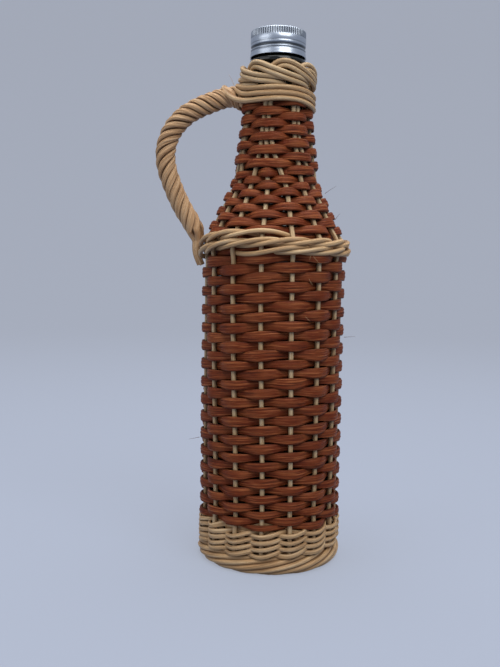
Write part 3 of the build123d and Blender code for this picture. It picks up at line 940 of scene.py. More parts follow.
@dataclass
class Stakes(Canework):
    """The upright stakes: where each stands at every height, and their meshes."""

    wall: GlassWall
    sizes: CoverSizes
    foot_heights: tuple[float, ...] = (15.0, 20.0)
    body_heights: tuple[float, ...] = (40.0, 60.0, 80.0, 100.0, 120.0, 140.0, 152.0)
    shoulder_heights: tuple[float, ...] = (177.0, 182.0, 186.0)
    samples: int = 230
    short_samples: int = 170
    crest: float = 0.5
    first_tone: float = 0.4
    tone_step: float = 0.37

    def __post_init__(self) -> None:
        """Work out the steps round the bottle and how far the stakes stand off it."""
        sizes = self.sizes
        self.step = 360 / sizes.stake_count
        self.group_step = 360 / sizes.group_count
        near = 2 * sizes.clearance + sizes.stake_radius
        self.body_offset = near + sizes.brown_thickness
        low, high = sizes.wale_height, sizes.wale_height + sizes.wale_zone
        self.offsets = np.array([
            (sizes.foot_stakes_top, near + sizes.pale_thickness),
            (sizes.foot_blend_top, self.body_offset),
            (low - sizes.wale_blend, self.body_offset),
            (low, near + 2 * sizes.wale_radius),
            (high - sizes.wale_blend / 2, near + 2 * sizes.wale_radius),
            (high, self.body_offset),
        ])

    def offset(self, height: float) -> float:
        """How far the stakes stand off the glass at a height."""
        return float(np.interp(height, *self.offsets.T))

    def slot(self, stake: int) -> tuple[int, float, float]:
        """Group that a stake joins in the neck, and its places in the group.

        Args:
            stake: Number of the stake, from -1, with 0 at the front.

        Returns:
            Number of the group, and the slot in it low and high in the neck.
        """
        if stake <= self.sizes.short_stake:
            return 0, stake, (stake + 0.5 if stake < self.sizes.short_stake else stake)
        group, place = divmod(stake - self.sizes.short_stake - 1, 2)
        return group + 1, place - 0.5, place - 0.5

    def aside(self, angle: float) -> float:
        """How far to the right of the front an angle is, from -1 to 1."""
        return math.sin(math.radians(angle - self.sizes.front_angle))

    def level(self, height: float) -> float:
        """Share of the way up the body."""
        return held(between(height, self.sizes.foot_level, self.sizes.top_level))

    def upright(self, place: float, height: float) -> float:
        """Angle of a place among the stakes on the body, where they stand a little unevenly.

        Args:
            place: Number of the stake, or a place between two.
            height: Height on the body.

        Returns:
            The angle in degrees.
        """
        sizes = self.sizes
        angle = sizes.stake_angle + place * self.step
        level = eased(self.level(height))
        turn = mix(sizes.foot_turn, sizes.top_turn, level)
        return angle + turn + mix(sizes.foot_spread, sizes.top_spread, level) * self.aside(angle)

    def sag(self, angle: float, height: float) -> float:
        """How far the rows hang at the bottle's two sides.

        Args:
            angle: Angle round the bottle in degrees.
            height: Height on the bottle.

        Returns:
            The distance that the row hangs down.
        """
        sizes = self.sizes
        aside = self.aside(angle)
        grown = held(between(height, sizes.border_top, sizes.foot_level))
        fading = 1 - eased((height - sizes.wale_height) / sizes.wale_zone)
        right = mix(sizes.foot_right_sag, sizes.top_right_sag, self.level(height)) * max(aside, 0.0) ** 2
        return (sizes.left_sag * max(-aside, 0.0) + right) * grown * fading

    def angle(self, stake: int, height: float) -> float:
        """Angle of a stake at a height: upright on the body, closing on its group.

        Args:
            stake: Number of the stake, from -1, with 0 at the front.
            height: Height on the stake.

        Returns:
            The angle in degrees.
        """
        sizes = self.sizes
        group, low_slot, high_slot = self.slot(stake)
        slot = mix(low_slot, high_slot, eased(between(height, sizes.closing_end, sizes.slot_shift_top)))
        radius = self.wall.at(height)[0] + self.body_offset
        aside = math.degrees(slot * sizes.group_slot_step / radius)
        closed = sizes.group_angle + group * self.group_step + aside
        closing = eased(between(height, sizes.closing_start, sizes.closing_end))
        return mix(self.upright(stake, height), closed, closing)

    def angle_along(self, crossing: float, height: float) -> float:
        """Angle of a band's place between two stakes.

        Args:
            crossing: Crossing number along the band.
            height: Height on the bottle.

        Returns:
            The angle in degrees.
        """
        low = math.floor(crossing)
        drifts = []
        for near in (low, low + 1):
            stake = (near + 1) % self.sizes.stake_count - 1
            drifts.append(self.angle(stake, height) - (self.sizes.stake_angle + stake * self.step))
        return self.sizes.stake_angle + crossing * self.step + mix(*drifts, crossing - low)

    def loop_rows(self, stake: int) -> Iterator[list[float]]:
        """Looped end of a stake.

        Args:
            stake: Number of the stake, from -1, with 0 at the front.

        Returns:
            Rows of place and face direction along the loop.
        """
        sizes = self.sizes
        group, _, slot = self.slot(stake)
        centre = sizes.group_angle + group * self.group_step
        base = self.wall.corners[-1][0] + self.body_offset
        path = np.array(LOOP_SHARES) * (self.group_step, sizes.loop_rise, sizes.loop_lean)
        path += (0.0, sizes.loop_base, base)
        aside = slot * sizes.group_slot_step * sizes.loop_side_share
        for index, (turn, level, radius) in enumerate(path):
            move = path[min(index + 1, len(path) - 1)] - path[max(index - 1, 0)]
            across = math.radians(move[0]) * radius
            length = math.hypot(across, move[1])
            angle = centre + turn + math.degrees(aside * move[1] / length / radius)
            yield [*polar(radius, angle, level - aside * across / length), *polar(1, angle, 0)]

    def lay(self, stake: int) -> Lay:
        """One stake from the foot border to its looped end.

        Args:
            stake: Number of the stake, from -1, with 0 at the front.

        Returns:
            The stake as a length of round cane.
        """
        sizes = self.sizes
        short = stake == sizes.short_stake
        top = sizes.short_stake_top if short else sizes.loop_base
        low, zone = sizes.wale_height, sizes.wale_zone
        heights = [sizes.border_top + sizes.clearance, *self.foot_heights, sizes.foot_stakes_top]
        heights += [sizes.foot_blend_top, *self.body_heights, low - sizes.wale_blend, low]
        heights += [low + zone / 2, low + zone, *self.shoulder_heights]
        heights += [*np.arange(sizes.closing_start, min(top, sizes.last_closing), sizes.closing_step), top]
        rows = [self.wall.spot(self.angle(stake, height), height, self.offset(height)) for height in heights]
        if not short:
            rows += self.loop_rows(stake)
        smooth = spline_through(rows, self.short_samples if short else self.samples)
        half, tone = sizes.stake_radius, (stake * self.tone_step + self.first_tone) % 1
        return Lay(smooth[:, :3], unit(smooth[:, 3:]), half, half, self.crest, tone)

    def parts(self) -> Iterator[Part]:
        """Every stake as a piece of its own.

        Returns:
            The pieces in order.
        """
        for stake in range(-1, self.sizes.stake_count - 1):
            node = f"stake_{stake + 2:02d}"
            yield Part(f"cane_{node}", Cane.STAKE, Section.ROUND, [self.lay(stake)], node)


@dataclass(frozen=True)
class Station:
    """Place of a woven band where it crosses a stake."""

    angle: float
    height: float
    offset: float
    width: float
    over: float


@dataclass(frozen=True)
class Weave:
    """Everything that a woven band needs to find its way between the stakes."""

    wall: GlassWall
    stakes: Stakes
    samples: int = 12
    pinch: float = 0.05
    lift: float = 0.16
    widening: float = 0.055
    thickening: float = 0.06
    crest_gap_share: float = 0.6

    def crest_offset(self, height: float, thickness: float) -> float:
        """Offset of a band just clear of the outside of a stake.

        Args:
            height: Height on the bottle.
            thickness: Thickness of the band.

        Returns:
            Distance of the band's middle from the glass.
        """
        sizes = self.stakes.sizes
        gap = sizes.clearance * self.crest_gap_share
        return self.stakes.offset(height) + sizes.stake_radius + gap + thickness / 2

    def behind_offset(self, height: float, thickness: float, gap: float = 0.0) -> float:
        """Offset of a band behind stakes.

        Args:
            height: Height on the bottle.
            thickness: Thickness of the band.
            gap: Degrees between the stakes that hold it.

        Returns:
            Distance of the band's middle from the glass.
        """
        radius = self.wall.at(height)[0]
        chord = (radius + self.stakes.sizes.clearance) / math.cos(math.radians(gap) / 2)
        return chord - radius + thickness / 2

    def band(self, stations: Sequence[Station], tone: float, seed: int) -> Lay:
        """Smooth brown band through its stations, with small seeded unevenness.

        Args:
            stations: The band's places at the stakes.
            tone: Where the cane's colour lies between dark and light.
            seed: Seed of the unevenness.

        Returns:
            The band as a length of cane.
        """
        rng = np.random.default_rng(seed)
        lift = rng.normal(0.0, self.lift, len(stations))
        widen = rng.normal(1.0, self.widening, len(stations))
        thicken = rng.normal(1.0, self.thickening, len(stations))
        half_depth = self.stakes.sizes.brown_dressed / 2
        rows = []
        for index, (here, after) in enumerate(zip(stations, stations[1:])):
            for step in range(self.samples + (index == len(stations) - 2)):
                share = step / self.samples
                swing = swung(share)
                angle = mix(here.angle, after.angle, share)
                height = mix(here.height, after.height, share) + mix(lift[index], lift[index + 1], swing)
                height -= self.stakes.sag(angle, height)
                width = mix(here.width * widen[index], after.width * widen[index + 1], swing)
                width *= 1 - self.pinch * math.sin(math.pi * share) ** 2
                depth = half_depth * mix(thicken[index], thicken[index + 1], share)
                spot = self.wall.spot(angle, height, mix(here.offset, after.offset, swing))
                # The last value, how far the band is over a stake, also sets its painted crest highlight
                rows.append([*spot, width / 2, depth, mix(here.over, after.over, swing)])
        return Lay.from_rows(rows, tone)

    def single(
        self,
        first: float,
        last: float,
        height_at: Callable[[float], float],
        width_at: Callable[[float, float], float],
        woven: tuple[float, float],
    ) -> list[Station]:
        """Stations of a band over one stake and behind the next.

        Args:
            first: Crossing number where the band starts.
            last: Crossing number where it ends.
            height_at: Height by crossing number.
            width_at: Width by crossing number and by how far it is over the stake.
            woven: Crossings between which the band is woven; beyond them it stays behind.

        Returns:
            The stations in order.
        """
        thickness = self.stakes.sizes.brown_dressed
        stations = []
        for crossing in (first, *range(math.floor(first) + 1, math.ceil(last)), last):
            height = height_at(crossing)
            over = abs(crossing % 2 - 1) if woven[0] < crossing < woven[1] else 0.0
            behind = self.behind_offset(height, thickness)
            offset = mix(behind, self.crest_offset(height, thickness), over)
            angle = self.stakes.angle_along(crossing, height)
            stations.append(Station(angle, height, offset, width_at(crossing, over), over))
        return stations


@dataclass
class BodyWeave(Canework):
    """Brown cane that winds round the body in one spiral, in four lengths."""

    weave: Weave
    first_row_height: float = 24.2
    loose_pitch: float = 4.8498
    tight_pitch: float = 3.4
    packed_rows: float = 7.0
    turns: float = 31.0
    joint_shares: tuple[float, ...] = (0.26, 0.52, 0.76)
    tones: tuple[float, ...] = (0.62, 0.45, 0.7, 0.55)
    first_crossing: float = -1.4
    tucked_crossings: float = 17.0
    crest_share: float = 1.2
    trough_share: float = 0.92
    taper_turns: float = 0.13
    taper_share: float = 0.3
    tuck: float = 0.05
    seed: int = 11

    def row(self, turn: float) -> tuple[float, float]:
        """Height of the spiral, and its pitch there.

        Args:
            turn: Number of turns from its start.

        Returns:
            The height, and the distance to the next turn.
        """
        loose = self.loose_pitch - self.tight_pitch
        left = math.exp(-turn / self.packed_rows)
        height = self.first_row_height + self.loose_pitch * turn - loose * self.packed_rows * (1 - left)
        return height, self.loose_pitch - loose * left

    def parts(self) -> Iterator[Part]:
        """The four lengths, one after another.

        Returns:
            The pieces in order.
        """
        count = self.weave.stakes.sizes.stake_count
        start = -count * 0.5
        stop = start + self.turns * count
        end = stop + self.tucked_crossings

        def taper(turn: float) -> float:
            """Width share of the spiral near its two ends."""
            from_end = min(turn - self.first_crossing / count, end / count - turn)
            return mix(self.taper_share, 1, min(from_end / self.taper_turns, 1))

        def height_at(crossing: float) -> float:
            """Height of the band.

            Args:
                crossing: Crossing number along the band.

            Returns:
                The height, drawn in to its row near the ends.
            """
            height, pitch = self.row(crossing / count)
            lost = (1 - taper(crossing / count)) * pitch / 2
            return height + (lost if crossing / count < self.turns / 2 else -lost)

        def width_at(crossing: float, over: float) -> float:
            """Width of the band by crossing number."""
            pitch = self.row(crossing / count)[1]
            return pitch * mix(self.trough_share, self.crest_share, over) * taper(crossing / count)

        joins = [2 * math.floor(mix(start, stop, share) / 2) + 1 for share in self.joint_shares]
        starts = [self.first_crossing, *[join + self.tuck for join in joins]]
        stops = [*[join - self.tuck for join in joins], end]
        for number, (first, last, tone) in enumerate(zip(starts, stops, self.tones)):
            stations = self.weave.single(first, last, height_at, width_at, (start, stop + 1))
            lay = self.weave.band(stations, tone, self.seed + number)
            name, node = f"brown_cane_body_{number + 1}", f"body_weaver_{number + 1}"
            yield Part(name, Cane.BROWN, Section.FLAT, [lay], node)


@dataclass
class FootWeave(Canework):
    """Two thin pale rods that twine round each other, and round the stakes, up the foot."""

    weave: Weave
    first_row_height: float = 24.2
    pitch: float = 3.34965
    first_crossing: float = -88.0
    woven_from: float = -67.0
    woven_to: float = -1.6
    last_crossing: float = 1.0
    hidden_swell: float = 1.55
    width: float = 2.35
    thickness: float = 1.5
    lean: float = 0.6
    dip: float = 0.95
    lag: float = 0.4
    unevenness: float = 0.2
    rise_over: float = 0.6
    samples_each: int = 5
    swell: float = 0.07
    swell_end: float = 61.0
    first_tone: float = 0.55
    tone_step: float = 0.2
    seed: int = 31

    def lay(self, shift: int) -> Lay:
        """One rod of the pair.

        Args:
            shift: 0 for the rod over the even stakes, 1 for the other.

        Returns:
            The rod as a length of cane.
        """
        stakes = self.weave.stakes
        rows = []
        rng = np.random.default_rng(self.seed + shift)
        for crossing in np.arange(self.first_crossing, self.last_crossing + 0.5, 0.5):
            phase = math.pi * (crossing + shift)
            height = self.first_row_height + self.pitch * crossing / stakes.sizes.stake_count
            behind = self.weave.behind_offset(height, self.thickness)
            crest = self.weave.crest_offset(height, self.thickness)
            woven = self.woven_from < crossing < self.woven_to
            over = held(0.5 + self.rise_over * math.cos(phase - self.lag)) if woven else 0.0
            angle = stakes.upright(crossing, height)
            height += self.lean * math.sin(phase) - self.dip * math.cos(phase)
            height += rng.normal(0, self.unevenness) - stakes.sag(angle, height)
            spot = self.weave.wall.spot(angle, height, mix(behind, crest, over))
            rows.append([*spot, over, 1.0 if woven else self.hidden_swell])
        smooth = spline_through(rows, len(rows) * self.samples_each)
        swell = 1 + self.swell * np.sin(np.linspace(0, self.swell_end, len(smooth)) + 2 * shift)
        # Crests follow how far each rod is over a stake and set its painted highlight
        half, crests = self.width / 2 * smooth[:, 7] * swell, np.clip(smooth[:, 6], 0, 1)
        outs, tone = unit(smooth[:, 3:6]), self.first_tone + self.tone_step * shift
        return Lay(smooth[:, :3], outs, half, self.thickness / 2, crests, tone)

    def parts(self) -> Iterator[Part]:
        """Both rods as one piece."""
        lays = [self.lay(0), self.lay(1)]
        yield Part("pale_cane_foot", Cane.PALE, Section.OVAL, lays, "foot_weaver")


@dataclass
class ShoulderWeave(Canework):
    """Brown cane round the shoulder and the neck."""

    weave: Weave
    shoulder_start: float = 172.55
    shoulder_pitch: float = 3.75
    counted_from: int = 2
    shoulder_first: float = -27.0
    woven_from: float = -9.4
    shoulder_last: float = 121.3
    start_taper: float = 9.0
    start_share: float = 0.35
    neck_start: float = 203.4
    neck_pitch: float = 3.36
    neck_last: int = 73
    neck_lead_drop: float = 0.4
    neck_ceiling: float = 238.2
    narrowest: float = 0.8
    crest_share: float = 1.17
    trough_share: float = 0.93
    neck_crest_share: float = 1.42
    hidden_share: float = 1.5
    droop: float = 0.7
    tones: tuple[float, float] = (0.5, 0.66)
    seed: int = 41

    def height_at(self, crossing: float) -> float:
        """Height of the shoulder band, a little lower over a stake.

        Args:
            crossing: Crossing number along the band.

        Returns:
            The height.
        """
        dropped = self.droop * abs(crossing % 2 - 1) if crossing > self.woven_from else 0.0
        turns = (crossing - self.counted_from) / self.weave.stakes.sizes.stake_count
        return self.shoulder_start + self.shoulder_pitch * turns - dropped

    def width_at(self, crossing: float, over: float) -> float:
        """Width of the shoulder band.

        Args:
            crossing: Crossing number along the band.
            over: How far the band is over the stake, from 0 to 1.

        Returns:
            The width.
        """
        pitch = self.shoulder_pitch / math.cos(self.weave.wall.at(self.height_at(crossing))[1])
        grown = mix(self.start_share, 1.0, min((crossing - self.shoulder_first) / self.start_taper, 1.0))
        share = mix(self.trough_share, self.crest_share, over)
        return pitch * grown * (share if crossing > self.woven_from else self.hidden_share)

    def neck_stations(self) -> list[Station]:
        """Stations of the band round the gathered groups of stakes.

        Returns:
            The stations in order.
        """
        weave, stakes = self.weave, self.weave.stakes
        sizes = stakes.sizes
        thickness = sizes.brown_dressed
        stations = []
        for crossing in range(self.neck_last + 1):
            height = self.neck_start + self.neck_pitch * crossing / sizes.group_count
            over = 1 - crossing % 2
            rounds, group = divmod(crossing + 1, sizes.group_count)
            angles = [
                360 * rounds + stakes.angle(stake, height)
                for stake in range(-1, sizes.stake_count - 1)
                if stakes.slot(stake)[0] == group
                and (stake != sizes.short_stake or height < sizes.short_stake_top)
            ]
            behind = weave.behind_offset(height, thickness, angles[1] - angles[0])
            offset = weave.crest_offset(height, thickness) if over else behind
            pitch = self.neck_pitch / math.cos(weave.wall.at(height)[1])
            width = pitch * mix(self.trough_share, self.neck_crest_share, over)
            width = min(width, max(2 * (self.neck_ceiling - height), self.narrowest))
            if crossing == 0:
                low = height - self.neck_lead_drop
                hidden = weave.behind_offset(low, thickness)
                stations.append(Station(stakes.angle(sizes.short_stake, low), low, hidden, width, 0.0))
            stations += [Station(angle, height, offset, width, over) for angle in angles]
        return stations

    def parts(self) -> Iterator[Part]:
        """The cane of the shoulder and of the neck.

        Returns:
            The pieces in order.
        """
        first, last = self.shoulder_first, self.shoulder_last
        woven = (self.woven_from, math.inf)
        shoulder = self.weave.single(first, last, self.height_at, self.width_at, woven)
        bands = ("shoulder", shoulder), ("neck", self.neck_stations())
        for number, (name, stations) in enumerate(bands):
            lay = self.weave.band(stations, self.tones[number], self.seed + number)
            yield Part(f"brown_cane_{name}", Cane.BROWN, Section.FLAT, [lay], f"{name}_weaver")


@dataclass
class Wale(Canework):
    """Three pale rods that ring the shoulder twice, each before two stakes and behind the third."""

    weave: Weave
    pitch: float = 3.2
    rods: int = 3
    turns: int = 2
    swing: float = 1.16
    bulge: float = 0.9
    dressed_radius: float = 1.22
    first_stake: int = -1
    climb_share: float = 0.2
    samples: int = 420
    swell: float = 0.04
    swell_end: float = 40.0
    start_room: float = 6.0
    first_tone: float = 0.5
    tone_step: float = 0.2
    seed: int = 70

    def lay(self, number: int) -> Lay:
        """One rod of the wale.

        Args:
            number: Number of the rod, from 0.

        Returns:
            The rod as a length of round cane.
        """
        stakes, sizes = self.weave.stakes, self.weave.stakes.sizes
        behind = sizes.clearance + sizes.wale_radius
        rows = []
        for step in range(2 * self.turns * sizes.stake_count + 1):
            crossing = number + step / 2
            turns = crossing / sizes.stake_count
            climb = math.floor(turns) + eased((turns % 1 - 1) / self.climb_share + 1)
            height = sizes.wale_height + self.pitch * climb
            front = stakes.offset(height) + sizes.stake_radius + behind
            middle = mix(behind, front, 0.5)
            # Offset, rise and crest at each half step; the crest paints the rod lighter where it lies in
            # front of the stakes
            offset, rise, crest = (
                (behind, 0.0, 0.0),
                (middle, -self.swing, 0.0),
                (front, -self.swing, 1.0),
                (front + self.bulge, 0.0, 1.0),
                (front, self.swing, 1.0),
                (middle, self.swing, 0.0),
            )[step % (2 * self.rods)]
            angle = stakes.upright(self.first_stake + crossing, height)
            height -= stakes.sag(angle, height)
            rows.append([*self.weave.wall.spot(angle, height, offset, rise), crest])
        smooth = spline_through(rows, self.samples)
        start = np.random.default_rng(self.seed + number).uniform(0, self.start_room)
        waves = np.sin(np.linspace(0, self.swell_end, len(smooth)) + start)
        half = self.dressed_radius * (1 + self.swell * waves)
        crests, tone = np.clip(smooth[:, 6], 0, 1), self.first_tone + number * self.tone_step
        return Lay(smooth[:, :3], unit(smooth[:, 3:6]), half, half, crests, tone)

    def parts(self) -> Iterator[Part]:
        """The three rods, each a piece of its own.

        Returns:
            The pieces in order.
        """
        for number in range(self.rods):
            node = f"wale_rod_{number + 1}"
            yield Part(f"pale_{node}", Cane.PALE, Section.ROUND, [self.lay(number)], node)


# Collar's rod: angle in degrees, height, and how far it stands off its seat
COLLAR_PATH = (
    (166, 247.0, 8.0), (176, 248.0, 9.0), (185, 245.6, 8.6), (192, 242.6, 6.6), (201, 240.2, 3.6),
    (214, 239.0, 1.0), (235, 238.7, 0.0), (270, 239.0, 0.0), (305, 238.8, 0.0), (335, 237.4, 0.0),
    (360, 236.5, 0.1), (400, 236.9, 0.0), (450, 238.6, 0.0), (500, 242.0, 0.3), (525, 245.2, 1.8),
    (540, 246.6, 2.9), (552, 245.2, 2.2), (566, 243.0, 1.0), (590, 241.9, 0.1), (630, 241.8, 0.0),
    (670, 241.4, 0.0), (700, 240.1, 0.0), (720, 239.3, 0.0), (760, 239.7, 0.0), (810, 241.4, 0.0),
    (860, 244.8, 0.3), (885, 247.2, 1.3), (900, 248.4, 1.9), (912, 247.4, 1.4), (930, 245.6, 0.6),
    (955, 244.7, 0.0), (990, 244.6, 0.0), (1030, 244.1, 0.0), (1060, 242.8, 0.0), (1080, 242.1, 0.0),
    (1120, 242.5, 0.0), (1170, 244.0, 0.0), (1215, 244.4, 0.0),
)


@dataclass
class Collar(Canework):
    """Rod that hooks off the handle's top and winds three times round the neck."""

    weave: Weave
    radius: float = 1.35
    samples: int = 420
    swell: float = 0.04
    swell_end: float = 31.0
    crest: float = 0.6
    tone: float = 0.7

    def parts(self) -> Iterator[Part]:
        """The winding as one piece.

        Returns:
            The piece.
        """
        stakes, sizes = self.weave.stakes, self.weave.stakes.sizes
        offset = stakes.body_offset + sizes.stake_radius + sizes.clearance + self.radius
        rows = []
        for angle, height, reach in COLLAR_PATH:
            rows.append([*self.weave.wall.point(angle, height, offset + reach), *polar(1, angle, 0)])
        smooth = spline_through(rows, self.samples)
        half = self.radius * (1 + self.swell * np.sin(np.linspace(0, self.swell_end, len(smooth))))
        lay = Lay(smooth[:, :3], unit(smooth[:, 3:]), half, half, self.crest, self.tone)
        yield Part("pale_collar_winding", Cane.PALE, Section.ROUND, [lay], "collar_winding")


@dataclass
class FootBorder(Canework):
    """Fifteen rods rolled round each other at the foot, their undersides flat on the table."""

    stakes: Stakes
    ring_radius: float = 33.6
    roll_radius: float = 3.4
    flat: float = 0.45
    rod_radius: float = 1.35
    sweep: float = 113.0
    roll_start: float = 100.0
    roll_turn: float = 220.0
    steps: int = 48
    crest: float = 0.4
    first_tone: float = 0.2
    tone_step: float = 0.41

    def parts(self) -> Iterator[Part]:
        """The fifteen rods as one piece.

        Returns:
            The piece.
        """
        sizes = self.stakes.sizes
        level = self.roll_radius + self.rod_radius - self.flat
        half = self.rod_radius
        lays = []
        for stake in range(sizes.stake_count):
            rows = []
            for share in np.arange(self.steps + 1) / self.steps:
                angle = self.stakes.upright(stake, sizes.border_top) - share * self.sweep
                roll = math.radians(self.roll_start - share * self.roll_turn)
                radius = self.ring_radius + self.roll_radius * math.cos(roll)
                centre = polar(radius, angle, level + self.roll_radius * math.sin(roll))
                face = polar(math.cos(roll), angle, math.sin(roll))
                rows.append([*centre, *face, half, half, self.crest])
            lays.append(Lay.from_rows(rows, (stake * self.tone_step + self.first_tone) % 1))
        yield Part("pale_foot_border", Cane.PALE, Section.ROUND, lays, "foot_border")


@dataclass
class Base(Canework):
    """Woven base under the glass."""

    height: float = 6.3
    stick_radius: float = 1.2
    clearance: float = 0.2
    band_width: float = 4.0
    band_thickness: float = 1.2
    cross_half: float = 7.0
    spoke_start: float = 11.0
    spoke_end: float = 29.1
    band_start: float = 11.6
    band_pitch: float = 4.2
    band_turns: int = 3
    band_samples: int = 8
    stick_count: int = 4
    spokes: int = 16
    stick_samples: int = 60
    stick_crest: float = 0.4
    first_tone: float = 0.3
    tone_step: float = 0.15
    band_crest: float = 0.5
    band_tone: float = 0.55

    def sticks(self, upper: bool) -> list[Lay]:
        """Sticks of one layer of the cross, their ends spread out evenly.

        Args:
            upper: Whether it is the upper layer.

        Returns:
            The sticks as lengths of round cane.
        """
        layer = self.stick_radius + self.clearance / 2
        lane = 2 * self.stick_radius + self.clearance / 2
        level = self.height + (layer if upper else -layer)
        half = self.stick_radius
        lays = []
        for number in range(self.stick_count):
            from_middle = number - (self.stick_count - 1) / 2
            spread = from_middle * 180 / (2 * self.stick_count)
            line = [
                polar(self.spoke_end, 180 - spread, self.height),
                polar(self.spoke_start, 180 - spread, self.height),
                np.array([-self.cross_half, from_middle * lane, level]),
            ]
            line += [point * (-1, 1, 1) for point in reversed(line)]
            smooth = spline_through(line, self.stick_samples)
            if upper:
                smooth = smooth[:, [1, 0, 2]] * (-1, 1, 1)
            tone = self.first_tone + number * self.tone_step
            lays.append(Lay(smooth, (0.0, 0.0, 1.0), half, half, self.stick_crest, tone))
        return lays

    def band(self) -> Lay:
        """Flat cane that winds out through the spokes.

        Returns:
            The band as a length of cane.
        """
        swing = self.stick_radius + self.clearance + self.band_thickness / 2
        centres = []
        for step in range(self.band_turns * self.spokes * self.band_samples + 1):
            crossing = step / self.band_samples
            low = math.floor(crossing)
            sides = [1.0 if (near + near // self.spokes) % 2 else -1.0 for near in (low, low + 1)]
            level = self.height + swing * mix(*sides, swung(crossing - low))
            turns = crossing / self.spokes
            radius = self.band_start + self.band_pitch * turns + self.band_width / 2
            centres.append(polar(radius, 180 / self.spokes + turns * 360, level))
        halves = self.band_width / 2, self.band_thickness / 2
        return Lay(np.array(centres), (0.0, 0.0, -1.0), *halves, self.band_crest, self.band_tone)

    def parts(self) -> Iterator[Part]:
        """The two layers of the cross and the cane wound through them.

        Returns:
            The pieces in order.
        """
        for upper, layer in enumerate(("lower", "upper")):
            node = f"base_sticks_{layer}"
            yield Part(f"pale_{node}", Cane.PALE, Section.ROUND, self.sticks(bool(upper)), node)
        yield Part("pale_base_weaver", Cane.PALE, Section.OVAL, [self.band()], "base_weaver")


# Middle line of the handle: distance from the axis and height
HANDLE_LINE = (
    (16.6, 240.4), (21.2, 242.6), (33.6, 240.2), (43.4, 235.9), (51.8, 229.2), (56.9, 220.4),
    (58.1, 209.6), (54.3, 196.6), (49.0, 185.4), (44.2, 177.6), (42.0, 173.0), (41.2, 168.6),
    (41.2, 164.8), (40.6, 161.0), (39.3, 157.6), (38.3, 155.4),
)


@dataclass
class Handle(Canework):
    """Cane core wrapped by long strands, two of which tuck under the wale."""

    core_radius: float = 3.1
    core_end_radius: float = 2.9
    strand_width: float = 3.05
    low_width: float = 4.1
    tail_width: float = 2.9
    strand_depth: float = 2.1
    low_depth: float = 1.8
    tail_depth: float = 1.3
    clearance: float = 0.1
    lay_top: float = 19.0
    lay_foot: float = 31.0
    tail_length: float = 19.0
    tail_run: float = 7.0
    tail_half_width: float = 1.1
    tail_half_depth: float = 0.9
    core_tip: float = 9.0
    core_tip_radius: float = 0.7
    strand_tails: tuple[float, ...] = (6.5, 19.0, 18.4, 17.4, 5.0)
    tones: tuple[float, ...] = (0.35, 0.62, 0.48, 0.8, 0.55)
    wobble: float = 0.008
    wobble_step: float = 0.21
    swell: float = 0.05
    swell_step: float = 0.33
    start_room: float = 6.0
    widening_rate: float = 1.7
    widening_start: float = 0.6
    line_samples: int = 600
    core_samples: int = 66
    strand_samples: int = 320
    core_tone: float = 0.1
    crest: float = 0.5
    seed: int = 90

    def __post_init__(self) -> None:
        """Sample the handle's line once."""
        points = [(-reach, 0.0, height) for reach, height in HANDLE_LINE]
        line = spline_through(points, self.line_samples)
        self.line = np.hstack([line, unit(np.gradient(line, axis=0))])
        self.places = run(line)[1]
        self.core_length = self.places[-1] - self.tail_length

    def frame(self, distance: float) -> tuple[np.ndarray, np.ndarray, np.ndarray]:
        """Place on the line, and its directions.

        Args:
            distance: Distance down the handle from its top.

        Returns:
            The place, and the directions outward and sideways.
        """
        row = np.array([np.interp(distance, self.places, column) for column in self.line.T])
        sideways = np.array([0.0, 1.0, 0.0])
        return row[:3], np.cross(row[3:], sideways), sideways

    def core_at(self, distance: float) -> float:
        """Radius of the core, drawn in before its end."""
        share = eased((distance - self.core_length + self.tail_run) / self.tail_run)
        return mix(self.core_radius, self.core_end_radius, share)

    def turns_left(self, distance: float) -> float:
        """Turns that a strand still makes before the core's end."""
        growth = (self.lay_foot - self.lay_top) / self.core_length
        return math.log(self.lay_foot / (self.lay_top + growth * distance)) / growth

    def core(self) -> Lay:
        """The core under the strands, drawn to a tip between their tails.

        Returns:
            The core as a length of round cane.
        """
        rows = []
        for distance in np.linspace(0, self.core_length + self.core_tip, self.core_samples):
            place, out, _ = self.frame(distance)
            past = eased((distance - self.core_length) / self.core_tip)
            half = mix(self.core_at(distance), self.core_tip_radius, past)
            rows.append([*place, *out, half, half, 0.0])
        return Lay.from_rows(rows, self.core_tone)

    def strand(self, number: int) -> Lay:
        """One strand wrapped round the core.

        Args:
            number: Number of the strand, from 0.

        Returns:
            The strand as a length of cane.
        """
        stop = self.core_length + self.strand_tails[number]
        phase = np.random.default_rng(self.seed + number).uniform(0, self.start_room)
        rows = []
        for distance in np.linspace(0, stop, round(stop / self.places[-1] * self.strand_samples)):
            place, out, sideways = self.frame(distance)
            low = eased(distance / self.core_length * self.widening_rate - self.widening_start)
            past = eased((distance - self.core_length) / self.tail_run)
            depth = mix(mix(self.strand_depth, self.low_depth, low), self.tail_depth, past)
            width = mix(mix(self.strand_width, self.low_width, low), self.tail_width, past)
            width *= 1 + self.swell * math.sin(distance * self.swell_step + 2 * phase)
            wrap = self.core_at(distance) + self.clearance + depth / 2
            turns = number / len(self.tones) - self.turns_left(min(distance, self.core_length))
            turns += self.wobble * math.sin(distance * self.wobble_step + phase)
            roll = 2 * math.pi * turns
            flat = mix(wrap, self.tail_half_width, past) * math.cos(roll)
            deep = mix(wrap, self.tail_half_depth, past) * math.sin(roll)
            face = out * math.cos(roll) * (1 - past) - sideways * mix(math.sin(roll), 1.0, past)
            face /= np.linalg.norm(face)
            rows.append([*(place + out * flat - sideways * deep), *face, width / 2, depth / 2, self.crest])
        return Lay.from_rows(rows, self.tones[number])

    def parts(self) -> Iterator[Part]:
        """The core and its strands.

        Returns:
            The pieces in order.
        """
        yield Part("handle_cane_core", Cane.HANDLE, Section.ROUND, [self.core()], "handle_core")
        for number in range(len(self.tones)):
            name, node = f"handle_cane_strand_{number + 1}", f"handle_strand_{number + 1}"
            yield Part(name, Cane.HANDLE, Section.SPLIT, [self.strand(number)], node)


